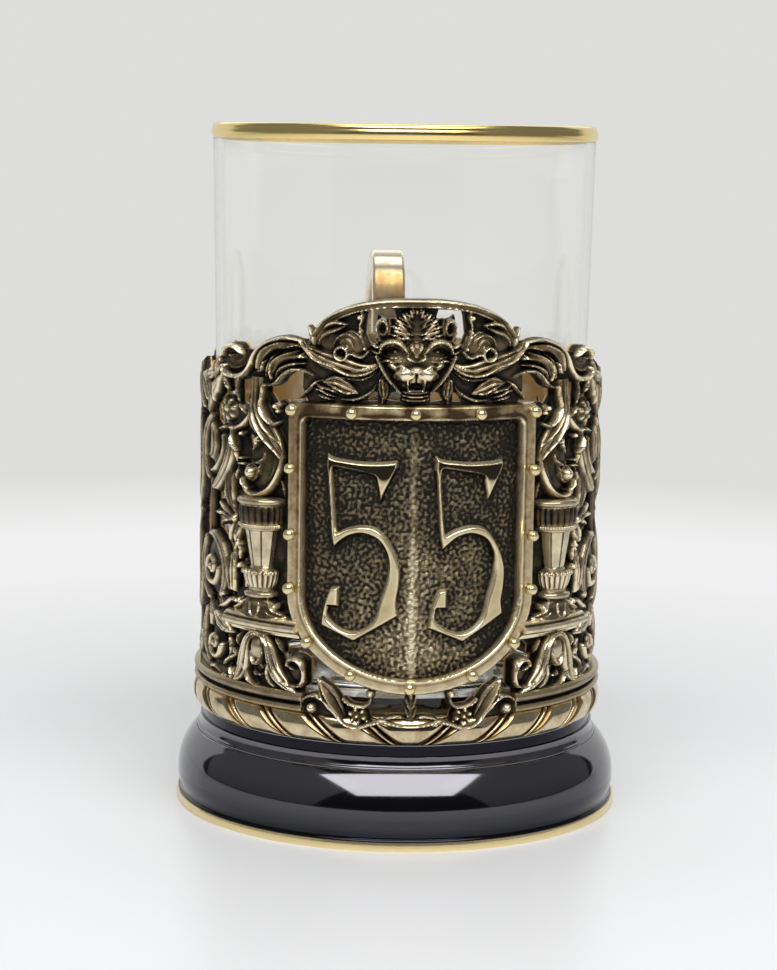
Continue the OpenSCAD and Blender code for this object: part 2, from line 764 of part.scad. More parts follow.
// Centre line of the handle behind the wall, as shares of its reach and height
handle_line_shares = [[0, 0.5], [0, 0.62], [0, 0.76], [0, 0.9], [0.05, 0.965], [0.18, 1], [0.42, 0.98],
    [0.8, 0.86], [1, 0.66], [0.98, 0.46], [0.78, 0.3], [0.42, 0.2], [0.14, 0.19], [0.02, 0.16],
    [0, 0.11], [0, 0.05], [0, 0], [0, -0.05]];
module handle() {
    low = wall_z + back_w / 2;
    tall = thumb_top - bar_t / 2 - low;
    pts = [for (s = handle_line_shares) [back_y + bar_t / 2 + s[0] * handle_reach, low + s[1] * tall]];
    color("#d6bc7e") difference() {
        translate([-bar_w / 2, 0, 0]) rotate([90, 0, 90]) linear_extrude(height = bar_w) difference() {
            polygon(thicken(smooth(pts, 8), bar_t / 2));
            square([back_y, thumb_top]);
        }
        at_screws() cylinder(r = screw_r + solder_gap, h = back_y - wall_in + 2 * bar_t);
    }
}

// Smooth line through chosen points, and the band of half width t on both sides of it
function smooth(p, n) = let (m = len(p) - 1) concat([for (i = [0:m - 1], k = [0:n - 1])
    let (t = k / n, a = p[max(i - 1, 0)], b = p[i], c = p[i + 1], d = p[min(i + 2, m)])
    b * (1 - t) ^ 2 * (1 + 2 * t) + c * t * t * (3 - 2 * t)
        + (c - a) / 2 * t * (1 - t) ^ 2 - (d - b) / 2 * t * t * (1 - t)], [p[m]]);
function across(p, i) = let (d = p[min(i + 1, len(p) - 1)] - p[max(i - 1, 0)])
    [-d.y, d.x] / norm(d);
function thicken(p, t) = concat([for (i = [0:len(p) - 1]) p[i] + across(p, i) * t],
    [for (i = [len(p) - 1:-1:0]) p[i] - across(p, i) * t]);

// Screw axes, from inside the wall to behind the handle
module at_screws() {
    for (z = screw_z) translate([0, wall_in - over, z]) rotate([-90, 0, 0]) children();
}

module handle_screws() {
    head_y = back_y + bar_t - wall_in + over;
    color("#e2cf9c") at_screws() {
        translate([0, 0, over + web_t / 3]) cylinder(r = screw_r, h = head_y - over - web_t / 3);
        translate([0, 0, head_y]) rotate_extrude() intersection() {
            translate([0, -screw_r]) circle(screw_r * 2);
            square([screw_r * 2, screw_r]);
        }
    }
}

module tumbler() {
    inner_base = glass_base_r - glass_wall;
    color([0.85, 0.92, 0.92, 0.4]) rotate_extrude() difference() {
        polygon(concat([[0, seat_z + glass_kick], [glass_base_r - 3 * glass_edge_r, seat_z + glass_kick],
            [glass_base_r - 2 * glass_edge_r, seat_z]],
            arc([glass_base_r - glass_edge_r, seat_z], [glass_base_r, seat_z + glass_edge_r],
                glass_edge_r * (1 - cos(45)), 8),
            [[glass_rim_r, glass_top], [glass_rim_r - glass_wall, glass_top]],
            [[inner_base, seat_z + glass_base_t + glass_edge_r]],
            arc([inner_base, seat_z + glass_base_t + glass_edge_r],
                [inner_base - glass_edge_r, seat_z + glass_base_t], glass_edge_r * (1 - cos(45)), 8),
            [[0, seat_z + glass_base_t]]));
    }
}

module gilt_rim() {
    slope = (glass_rim_r - glass_base_r) / glass_h;
    low = glass_rim_r - gilt_h * slope;
    color("#e8b92e") rotate_extrude() polygon([[low, glass_top - gilt_h],
        [low + gilt_t, glass_top - gilt_h + gilt_t], [glass_rim_r + gilt_t, glass_top - gilt_t],
        [glass_rim_r, glass_top]]);
}

foot();
foot_edge();
seat_plate();
centre_bolt();
bolt_washer();
bolt_nut();
rope_collar();
lower_moulding();
shield_frame();
shield_field();
shield_rivets();
garland();
crest_arch();
lion_mask();
crest_scroll(true);  // crest_scroll_left
crest_scroll(false);  // crest_scroll_right
acanthus(true);  // leaf_left
acanthus(false);  // leaf_right
stem_scroll(true);  // stem_scroll_left
stem_scroll(false);  // stem_scroll_right
urn(true);  // urn_left
urn(false);  // urn_right
plinth(true);  // plinth_left
plinth(false);  // plinth_right
console(true);  // console_left
console(false);  // console_right
side_panel(true);  // side_panel_left
side_panel(false);  // side_panel_right
rear_panel(true);  // rear_panel_left
rear_panel(false);  // rear_panel_right
back_strap();
handle();
handle_screws();
tumbler();
gilt_rim();
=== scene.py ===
"""Openwork brass tea glass holder with its gilt-rimmed tea glass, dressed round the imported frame."""

import math

import bmesh
import bpy
import numpy as np
from mathutils import Matrix, Vector


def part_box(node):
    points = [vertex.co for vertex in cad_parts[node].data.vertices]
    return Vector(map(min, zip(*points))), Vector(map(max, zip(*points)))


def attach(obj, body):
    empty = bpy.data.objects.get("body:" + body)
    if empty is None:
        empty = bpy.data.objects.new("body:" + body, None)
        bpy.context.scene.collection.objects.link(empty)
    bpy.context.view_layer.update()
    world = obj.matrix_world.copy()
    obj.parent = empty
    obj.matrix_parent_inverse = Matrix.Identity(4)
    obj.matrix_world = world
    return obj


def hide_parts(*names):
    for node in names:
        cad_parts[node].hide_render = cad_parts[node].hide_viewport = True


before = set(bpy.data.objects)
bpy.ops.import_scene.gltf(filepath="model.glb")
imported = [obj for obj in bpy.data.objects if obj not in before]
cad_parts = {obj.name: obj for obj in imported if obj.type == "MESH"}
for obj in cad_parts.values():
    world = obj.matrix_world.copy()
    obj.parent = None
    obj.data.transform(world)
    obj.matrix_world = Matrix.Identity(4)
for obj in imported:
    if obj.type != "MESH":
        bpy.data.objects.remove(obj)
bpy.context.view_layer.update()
MM = 0.001
RNG = np.random.default_rng(11)
SCATTER_SEED = 7


def node_box(name):
    """Lowest and highest corner of a frame node, in millimetres."""
    low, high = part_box(name)
    return np.array(low) / MM, np.array(high) / MM


# Sizes in millimetres: radii from the holder's axis, heights above the table
WALL_IN = 34.96                  # inner face of the wall
WALL_UNROLL_R = 37.5             # where the wall is unrolled for drawing
RELIEF_R = node_box("back_strap")[1][1]
(_, _, GLASS_FOOT), (_, _, GLASS_TOP) = node_box("tumbler")
GLASS_R = 35.0                   # at the rim
GLASS_LEAN = 2.0 / 107.3         # how much the radius grows with the height
BAND_R, _, FOOT_TOP = node_box("foot")[1]
EDGE_R, _, EDGE_TOP = node_box("foot_edge")[1]
SHIELD_LOW, (SHIELD_HALF, _, SHIELD_TOP) = node_box("shield_frame")
STRAP_R = -SHIELD_LOW[1]
SHIELD_FOOT = SHIELD_LOW[2]
SHIELD_BELLY = 17.0              # how high its rounded lower end reaches
STRAP_W = 2.9
NUMERAL_SHIFTS = (0.0, 19.25)    # both numerals are the left one, shifted along the wall
ARCH_ANGLE = 30.0                # degrees left open in the moulding on each side of the front
SHELF_TOP = 39.1                 # the urns stand on it
SIDE_MIDDLE = 58.6               # along the wall
URN_AXIS = 29.2                  # along the wall, from its front
URN_AXIS_R = 36.7
URN_FLAT = 0.82                  # depth of an urn's body, as a share of its width


def put(name, data):
    """An object of the data, linked to the scene."""
    obj = bpy.data.objects.new(name, data)
    bpy.context.scene.collection.objects.link(obj)
    return obj


def shade_smooth(mesh, sharp=None):
    """Smooth shading, with edges steeper than sharp degrees kept crisp."""
    mesh.polygons.foreach_set("use_smooth", np.ones(len(mesh.polygons), bool))
    if sharp is not None:
        mesh.set_sharp_from_angle(angle=math.radians(sharp))


def add_mesh(name, verts, faces, sharp=None):
    """A mesh object from vertices in millimetres."""
    mesh = bpy.data.meshes.new(name)
    faces = faces.tolist() if isinstance(faces, np.ndarray) else faces
    mesh.from_pydata((np.asarray(verts) * MM).tolist(), [], faces)
    mesh.update()
    shade_smooth(mesh, sharp)
    return put(name, mesh)


# Camera
CAMERA_DISTANCE = 467.0          # from the holder's axis, mm
CAMERA_HEIGHT = 125.1            # above the table, mm
CAMERA_TURN = math.radians(4.0)  # the shield looks this far to the right of the camera
CAMERA_PITCH = math.radians(8.12)
CAMERA_YAW = math.radians(0.25)
CAMERA_ROLL = math.radians(0.74)
CAMERA_SHIFT = 0.04              # share of the picture height, sideways
FOCAL_PX = 2530.0                # focal length in pixels of the 777 x 970 frame
FRAME_PX = 970.0
SENSOR = 36.0


def add_camera():
    """Camera at the photograph's viewpoint."""
    data = bpy.data.cameras.new("camera")
    data.sensor_fit = "AUTO"
    data.sensor_width = SENSOR
    data.lens = FOCAL_PX / FRAME_PX * SENSOR
    data.clip_start = 0.01
    data.shift_x = CAMERA_SHIFT
    cam = put("camera", data)
    place = Vector((-math.sin(CAMERA_TURN), -math.cos(CAMERA_TURN), 0)) * CAMERA_DISTANCE
    place.z = CAMERA_HEIGHT
    cam.location = place * MM
    aside = math.atan(CAMERA_SHIFT * FRAME_PX / FOCAL_PX)
    turn = Matrix.Rotation(CAMERA_YAW + aside - CAMERA_TURN, 4, "Z")
    tilt = Matrix.Rotation(math.pi / 2 - CAMERA_PITCH, 4, "X")
    roll = Matrix.Rotation(CAMERA_ROLL, 4, "Z")
    cam.rotation_euler = (turn @ tilt @ roll).to_euler()
    bpy.context.scene.camera = cam


add_camera()


def arc(p, q, rise, n=12):
    """Points on an arc from p to q that bulges by rise to the right of the way."""
    p, q = np.array(p, float), np.array(q, float)
    chord = np.linalg.norm(q - p)
    r = (chord * chord / 4 + rise * rise) / (2 * rise)
    d = (q - p) / chord
    side = np.array([d[1], -d[0]])
    centre = (p + q) / 2 - side * (r - rise)
    half = math.asin(min(1.0, chord / 2 / r))
    turns = np.linspace(-half, half, n + 1)
    return [tuple(centre + side * r * math.cos(a) + d * r * math.sin(a)) for a in turns]


def lathe(name, profile, segments=256, first=0.0, last=360.0, sharp=35.0):
    """A turned piece: profile is a closed loop of (radius, height), counted outside upwards."""
    whole = abs(last - first - 360) < 1e-6
    count = segments if whole else segments + 1
    turns = np.radians(first + (last - first) * np.arange(count) / segments)
    ring = np.array(profile, float)
    n = len(ring)
    verts = np.empty((count, n, 3))
    verts[..., 0] = np.sin(turns)[:, None] * ring[None, :, 0]
    verts[..., 1] = -np.cos(turns)[:, None] * ring[None, :, 0]
    verts[..., 2] = ring[None, :, 1]
    faces = []
    for i in range(segments):
        a, b = i * n, ((i + 1) % count) * n
        for k in range(n):
            m = (k + 1) % n
            faces.append((a + k, b + k, b + m, a + m))
    if not whole:
        faces += [tuple(range(n)), tuple(range((count - 1) * n + n - 1, (count - 1) * n - 1, -1))]
    obj = add_mesh(name, verts.reshape(-1, 3), faces)
    tidy_shell(obj, sharp)
    return obj


def tidy_shell(obj, sharp):
    """Merges doubles, turns the faces outwards and marks the crisp edges."""
    bm = bmesh.new()
    bm.from_mesh(obj.data)
    bmesh.ops.remove_doubles(bm, verts=bm.verts, dist=1e-7)
    bmesh.ops.dissolve_degenerate(bm, edges=bm.edges, dist=1e-8)
    bmesh.ops.recalc_face_normals(bm, faces=bm.faces)
    bm.to_mesh(obj.data)
    bm.free()
    shade_smooth(obj.data, sharp)
    obj.data.update()


# Colours and finishes
class NodeMaker:
    """Adds nodes to a tree. Values in order go to the sockets in order, capitalised names to the
    sockets of that name, and other names to the node's own settings. A value may be a socket that
    feeds the input. Each call gives the output asked for."""

    def __init__(self, tree):
        self.tree = tree

    def __call__(self, kind, out=0, *ordered, **named):
        node = self.tree.nodes.new(kind)
        for key in [key for key in named if key[0].islower()]:
            setattr(node, key, named.pop(key))
        sockets = list(zip(node.inputs, ordered))
        sockets += [(node.inputs[key.replace("_", " ")], value) for key, value in named.items()]
        for socket, value in sockets:
            if isinstance(value, bpy.types.NodeSocket):
                self.tree.links.new(value, socket)
            elif value is not None:
                socket.default_value = value
        return node.outputs[out] if node.outputs else node


def new_material(name):
    """An empty node material; returns (material, node maker)."""
    mat = bpy.data.materials.new(name)
    mat.use_nodes = True
    mat.node_tree.nodes.clear()
    return mat, NodeMaker(mat.node_tree)


def colour_ramp(add, fac, *stops):
    """Colour output of a ramp with (position, screen colour) stops."""
    colour = add("ShaderNodeValToRGB", "Color", Fac=fac)
    elements = colour.node.color_ramp.elements
    elements[0].position, elements[1].position = stops[0][0], stops[-1][0]
    elements[0].color, elements[1].color = linear(*stops[0][1]), linear(*stops[-1][1])
    for position, shade in stops[1:-1]:
        elements.new(position).color = linear(*shade)
    return colour


def span(add, value, *ends):
    """Map Range output; ends are From Min, From Max, To Min, To Max."""
    return add("ShaderNodeMapRange", "Result", value, *ends)


def linear(*rgb):
    """A screen colour of 0 to 255 as the linear colour that a socket takes."""
    values = []
    for c in rgb:
        c = c / 255
        values.append(c / 12.92 if c <= 0.04045 else ((c + 0.055) / 1.055) ** 2.4)
    return (*values, 1.0)


def wear_and_shade_group():
    """Shared node group: how bright a point is painted, from its relief attribute and two noises. The attribute holds
    patina and wear together with painted shade in hollows and painted highlights on ridges; near -1 it marks the
    plain inner faces, which are painted pale as painted light.
    """
    group = bpy.data.node_groups.new("wear", "ShaderNodeTree")
    for name, way in (("Polish", "OUTPUT"), ("Grain", "OUTPUT"), ("Lining", "OUTPUT"), ("Bias", "INPUT")):
        group.interface.new_socket(name=name, in_out=way, socket_type="NodeSocketFloat")
    add = NodeMaker(group)
    relief = add("ShaderNodeAttribute", "Fac", attribute_name="relief")
    place = add("ShaderNodeTexCoord", "Object")
    blotch = add("ShaderNodeTexNoise", "Fac", Vector=place, Scale=420.0, Detail=4.0, Roughness=0.6)
    spread = add("ShaderNodeMath", 0, blotch, 0.55, -0.275, operation="MULTIPLY_ADD")
    total = add("ShaderNodeMath", 0, relief, spread, operation="ADD")
    polish_and_shade = add("ShaderNodeMath", 0, total, add("NodeGroupInput", "Bias"), operation="ADD", use_clamp=True)
    grain = add("ShaderNodeTexNoise", "Fac", Vector=place, Scale=2600.0, Detail=3.0, Roughness=0.65)
    add("NodeGroupOutput", 0, polish_and_shade, grain, span(add, relief, -0.6, -0.9, 0.0, 1.0))
    return group


WEAR_AND_SHADE = wear_and_shade_group()
PAINTED_LIT_LINING = (232, 186, 112)         # plain inner faces, seen through the openings: painted pale tan as painted light, which the glass keeps from them
LINING_METAL = 0.35              # how metallic they are
GRAIN_DEPTH = 0.0002             # metres


def aged_metal(name, deep, middle, bright, rough=(0.55, 0.22), bias=0.0, bump=0.12, metal=0.8):
    """Cast metal with dark patina and painted shade in its hollows, rubbed bright with painted highlights on its high
    points, and plain inner faces painted pale tan as painted light.
    """
    mat, add = new_material(name)
    wear = add("ShaderNodeGroup", "Polish", node_tree=WEAR_AND_SHADE, Bias=bias).node.outputs
    ramp = colour_ramp(add, wear["Polish"], (0.1, deep), (0.45, middle), (0.86, bright))
    tint = add("ShaderNodeMix", "Result", data_type="RGBA", Factor=wear["Lining"], A=ramp, B=linear(*PAINTED_LIT_LINING))
    relief = add("ShaderNodeBump", "Normal", Strength=bump, Distance=GRAIN_DEPTH, Height=wear["Grain"])
    skin = add("ShaderNodeBsdfPrincipled", "BSDF", Base_Color=tint, Normal=relief,
               Metallic=span(add, wear["Lining"], 0.0, 1.0, metal, LINING_METAL),
               Roughness=span(add, wear["Polish"], 0.1, 0.9, *rough))
    add("ShaderNodeOutputMaterial", 0, skin)
    return mat


def plain_metal(name, colour, rough, streak=0.0, low_colour=None, rise=(0.0, 0.014)):
    """Smooth metal whose gloss varies a little; it may start from another colour at the table, used as painted shade
    and painted reflection.
    """
    mat, add = new_material(name)
    place = add("ShaderNodeTexCoord", "Object")
    cloud = add("ShaderNodeTexNoise", "Fac", Vector=place, Scale=160.0, Detail=5.0, Roughness=0.6)
    relief = add("ShaderNodeBump", "Normal", Strength=streak, Distance=GRAIN_DEPTH, Height=cloud)
    tint = linear(*colour)
    if low_colour:
        height = span(add, add("ShaderNodeSeparateXYZ", "Z", place), *rise)
        tint = colour_ramp(add, height, (0.2, low_colour), (0.75, colour))
    skin = add("ShaderNodeBsdfPrincipled", "BSDF", Base_Color=tint, Metallic=1.0, Normal=relief,
               Roughness=span(add, cloud, 0.0, 1.0, rough * 0.7, rough * 1.4))
    add("ShaderNodeOutputMaterial", 0, skin)
    return mat


def clear_glass(name):
    """Drinking glass with a barely visible waviness."""
    mat, add = new_material(name)
    place = add("ShaderNodeMapping", "Vector", add("ShaderNodeTexCoord", "Object"), Scale=(1.0, 1.0, 0.08))
    wave = add("ShaderNodeTexNoise", "Fac", Vector=place, Scale=90.0, Detail=2.0)
    relief = add("ShaderNodeBump", "Normal", Strength=0.01, Distance=0.001, Height=wave)
    skin = add("ShaderNodeBsdfPrincipled", "BSDF", Base_Color=(1.0, 1.0, 0.995, 1), Roughness=0.0, IOR=1.5,
               Transmission_Weight=1.0, Normal=relief)
    add("ShaderNodeOutputMaterial", 0, skin)
    return mat


BRASS = aged_metal("antique_brass", (34, 32, 27), (122, 104, 74), (246, 232, 198), (0.4, 0.14))
RIM_BRASS = aged_metal("polished_brass", (96, 72, 40), (196, 162, 100), (240, 220, 168), (0.3, 0.16))
ROPE = aged_metal("rope_brass", (28, 23, 16), (150, 120, 74), (250, 236, 200), (0.26, 0.07), bump=0.04, metal=1.0)
STRAP = aged_metal("strap_brass", (76, 58, 38), (166, 144, 106), (238, 224, 186), (0.36, 0.18), bump=0.05)
RIVET = aged_metal("rivet_brass", (60, 46, 28), (190, 166, 112), (238, 222, 172), (0.3, 0.14), bump=0.03)
HANDLE = aged_metal("handle_brass", (88, 62, 30), (186, 152, 92), (250, 238, 206), (0.34, 0.18), bump=0.04)
HIDDEN_BRASS = aged_metal("inner_brass", (46, 36, 22), (150, 124, 76), (200, 176, 120), (0.5, 0.3), bias=0.5)
SHADED = aged_metal("shaded_brass", (20, 17, 14), (74, 64, 50), (176, 158, 124), (0.5, 0.26))
FIELD = aged_metal("dark_field", (38, 35, 29), (128, 114, 86), (240, 226, 190), (0.5, 0.24))
NUMERAL = aged_metal("numeral_brass", (40, 32, 22), (204, 184, 140), (242, 228, 190), (0.34, 0.16), bump=0.04)
# Black nickel, darker towards the table: a painted reflection of the shaded table round the foot.
NICKEL = plain_metal("black_nickel", (116, 115, 120), 0.08, 0.01, (50, 51, 56))
# Seat plate, dark below its top edge: painted shade and reflection of the rope over it.
SEAT = plain_metal("seat_nickel", (206, 208, 206), 0.12, 0.01, (40, 40, 46), (0.0176, 0.0179))
STEEL = plain_metal("steel", (190, 188, 184), 0.22)
GOLD = plain_metal("gilt", (247, 221, 150), 0.2, 0.02)
GLASS = clear_glass("clear_glass")


def dress(obj, mat, stands_for=(), body="holder"):
    """Gives a piece its finish and body, and hides the frame nodes that it stands for."""
    obj.data.materials.clear()
    obj.data.materials.append(mat)
    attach(obj, body)
    if stands_for:
        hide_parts(*stands_for)
    return obj


def edges_of(mesh):
    """The two vertices of each edge."""
    pairs = np.empty(len(mesh.edges) * 2, np.int64)
    mesh.edges.foreach_get("vertices", pairs)
    return pairs.reshape(-1, 2)


def per_vertex(mesh, name):
    """One of the mesh's vectors for each vertex: "co" or "normal"."""
    values = np.empty(len(mesh.vertices) * 3)
    mesh.vertices.foreach_get(name, values)
    return values.reshape(-1, 3)


def mark_relief(obj, rounds=6, depth=0.05, base=0.5):
    """Stores how far each vertex stands above (1) or below (0) its neighbourhood."""
    mesh = obj.data
    co = per_vertex(mesh, "co") / MM
    pairs = edges_of(mesh)
    both = np.concatenate([pairs, pairs[:, ::-1]])
    count = np.maximum(np.bincount(both[:, 0], minlength=len(co)), 1)
    soft = co.copy()
    for _ in range(rounds):
        soft = np.stack([np.bincount(both[:, 0], soft[both[:, 1], k], len(co)) / count
                         for k in range(3)], 1)
    above = np.einsum("ij,ij->i", co - soft, per_vertex(mesh, "normal"))
    store(mesh, np.clip(base + above / depth * 0.5, 0, 1))


def store(mesh, values):
    """Writes the per-vertex relief attribute."""
    attribute = mesh.attributes.get("relief") or mesh.attributes.new("relief", "FLOAT", "POINT")
    attribute.data.foreach_set("value", np.asarray(values, np.float32))


# Turned pieces: foot, mouldings, tumbler


def turned(name, profile, mat, stands_for=(), rounds=4, depth=0.06, base=0.5, **cut):
    """A lathe piece with its finish, body and relief attribute."""
    obj = lathe(name, profile, **cut)
    mark_relief(obj, rounds, depth, base)
    return dress(obj, mat, stands_for)


def build_foot():
    """Pressed foot: rolled lip, upright band, bead, bell and fillet, open underneath."""
    outer = [(BAND_R - 2.0, EDGE_TOP), (BAND_R - 0.02, EDGE_TOP)]
    outer += arc((BAND_R - 0.02, EDGE_TOP + 0.02), (BAND_R - 0.34, EDGE_TOP + 0.45), 0.09, 6)
    outer += [(BAND_R - 0.42, EDGE_TOP + 0.6), (BAND_R - 0.43, EDGE_TOP + 0.9)]
    outer += [(BAND_R - 0.35, EDGE_TOP + 1.3)]
    outer += arc((BAND_R - 0.28, EDGE_TOP + 1.6), (BAND_R - 0.06, 5.6), 0.12, 10)
    outer += arc((BAND_R - 0.05, 5.7), (37.55, 13.35), 0.87, 48)
    outer += [(37.42, 13.42), (37.3, 13.38)]
    outer += arc((37.28, 13.4), (37.12, 14.0), 0.14, 8)
    outer += [(36.95, 14.1)]
    outer += arc((36.9, 14.2), (36.7, FOOT_TOP - 0.05), -0.12, 8)
    outer += [(36.65, FOOT_TOP), (2.62, FOOT_TOP), (2.62, FOOT_TOP - 2.0)]
    inner = [(33.6, FOOT_TOP - 2.0)] + arc((38.2, 6.2), (33.6, FOOT_TOP - 2.4), 0.8, 16)[::-1]
    inner += [(BAND_R - 2.0, 5.4)]
    return turned("foot_shell", outer + inner, NICKEL, ["foot"])


def build_foot_edge():
    """Thin rounded brass ring under the foot."""
    ring = [(EDGE_R - 2.2, 0.0), (EDGE_R - 0.2, 0.0)]
    ring += arc((EDGE_R - 0.2, 0.0), (EDGE_R - 0.15, EDGE_TOP), 0.16, 8)[1:]
    ring += [(EDGE_R - 2.2, EDGE_TOP)]
    return turned("foot_brass_edge", ring, RIM_BRASS, ["foot_edge"], base=0.7)


def build_moulding():
    """Moulding over the rope: bead, hollow and torus, left open under the shield."""
    (_, _, z0), (_, _, z1) = node_box("lower_moulding")
    r = RELIEF_R
    outer = [(WALL_IN, z0), (r - 0.5, z0)]
    outer += arc((r - 0.5, z0), (r - 0.45, z0 + 1.0), 0.3, 8)[1:]
    outer += [(r - 1.25, z0 + 1.15), (r - 1.35, z0 + 1.5)]
    outer += arc((r - 1.1, z0 + 1.6), (r - 0.4, z1 - 0.25), 0.55, 12)
    outer += [(r - 0.7, z1), (WALL_IN, z1)]
    return turned("moulding", outer, SHADED, ["lower_moulding"], first=ARCH_ANGLE, last=360 - ARCH_ANGLE, depth=0.12)


def build_glass():
    """Blown tumbler with a thick base, faintly wavy walls and a fire-polished rim."""
    low, high = GLASS_FOOT, GLASS_TOP
    top_r, base_r = 34.97, 33.0
    thick, base_t = 1.55, 7.0
    lean = (top_r - base_r) / (high - low)
    outer = [(0.02, low + 0.8), (24.0, low + 0.75), (27.8, low + 0.35), (29.2, low)]
    outer += arc((30.6, low), (base_r, low + 2.4), 0.7, 12)
    outer += [(base_r + lean * (z - low), z) for z in np.linspace(low + 4, high - 0.8, 16)]
    outer += arc((top_r, high - 0.7), (top_r - thick, high - 0.7), 0.7, 10)
    outer += [(base_r + lean * (z - low) - thick, z) for z in np.linspace(high - 1.2, low + base_t + 4, 14)]
    outer += arc((base_r - thick, low + base_t + 3), (base_r - thick - 3.2, low + base_t), 0.9, 10)
    outer += [(22.0, low + base_t - 0.25), (0.02, low + base_t - 0.4)]
    obj = lathe("tea_glass", outer, 256, sharp=60)
    return dress(obj, GLASS, ["tumbler"], "glass")


def build_gilt_rim():
    """Thin gilt band that wraps the lip of the glass."""
    high, r = GLASS_TOP, GLASS_R
    band = [(r - 2.6 * GLASS_LEAN - 0.02, high - 2.65)]
    band += arc((r - 2.6 * GLASS_LEAN + 0.04, high - 2.63), (r + 0.06, high - 0.75), 0.22, 10)
    band += arc((35.07, high - 0.7), (33.33, high - 0.6), 0.78, 12)
    band += [(33.36, high - 1.0), (33.42, high - 0.98)]
    band += arc((34.97, high - 0.7), (33.42, high - 0.7), 0.68, 10)[::-1]
    obj = lathe("gilt_band", band, 256, sharp=60)
    return dress(obj, GOLD, ["gilt_rim"], "glass")


def sweep(name, line, half_w, half_t, corner):
    """A bar with rounded edges along a line in the plane x = 0; closed at both ends."""
    line = np.array(line, float)
    way = np.gradient(line, axis=0)
    way /= np.linalg.norm(way, axis=1)[:, None]
    out = np.stack([-way[:, 1], way[:, 0]], 1)
    section = []
    for cx, cy, a0 in ((1, 1, 0), (-1, 1, 90), (-1, -1, 180), (1, -1, 270)):
        for a in np.radians(np.linspace(a0, a0 + 90, 6)):
            section.append((cx * (half_w - corner) + corner * math.cos(a),
                            cy * (half_t - corner) + corner * math.sin(a)))
    n, m = len(line), len(section)
    verts = []
    for i in range(n):
        for x, y in section:
            verts.append((x, line[i, 0] + out[i, 0] * y, line[i, 1] + out[i, 1] * y))
    faces = [(i * m + k, i * m + (k + 1) % m, (i + 1) * m + (k + 1) % m, (i + 1) * m + k)
             for i in range(n - 1) for k in range(m)]
    faces += [tuple(range(m))[::-1], tuple(range((n - 1) * m, n * m))]
    obj = add_mesh(name, verts, faces)
    tidy_shell(obj, 40)
    return obj


def flowing(points, step):
    """Smooth curve through the points, at an even pace: (n, 2)."""
    p = np.array(points, float)
    ends = np.vstack([2 * p[0] - p[1], p, 2 * p[-1] - p[-2]])
    fine = []
    for i in range(1, len(ends) - 2):
        a, b, c, d = ends[i - 1:i + 3]
        for t in np.linspace(0, 1, 24, endpoint=False):
            fine.append(0.5 * (2 * b + (c - a) * t + (2 * a - 5 * b + 4 * c - d) * t * t
                               + (3 * b - a - 3 * c + d) * t ** 3))
    fine.append(p[-1])
    fine = np.array(fine)
    run = np.concatenate([[0], np.cumsum(np.linalg.norm(np.diff(fine, axis=0), axis=1))])
    count = max(int(run[-1] / step), 2)
    return np.stack([np.interp(np.linspace(0, run[-1], count + 1), run, fine[:, k]) for k in (0, 1)], 1)


STROKE_STEP = 0.45               # mm between the points of a stroke's middle line
PLATE_BEVEL = 0.3                # mm
RELIEF_SHARP = 62                # degrees between faces that keep a crisp edge
REAR_MARK = -1.0                 # relief value of the plain inner faces; the wear-and-shade group paints them pale tan as painted light, and the side walls between take dark painted shade
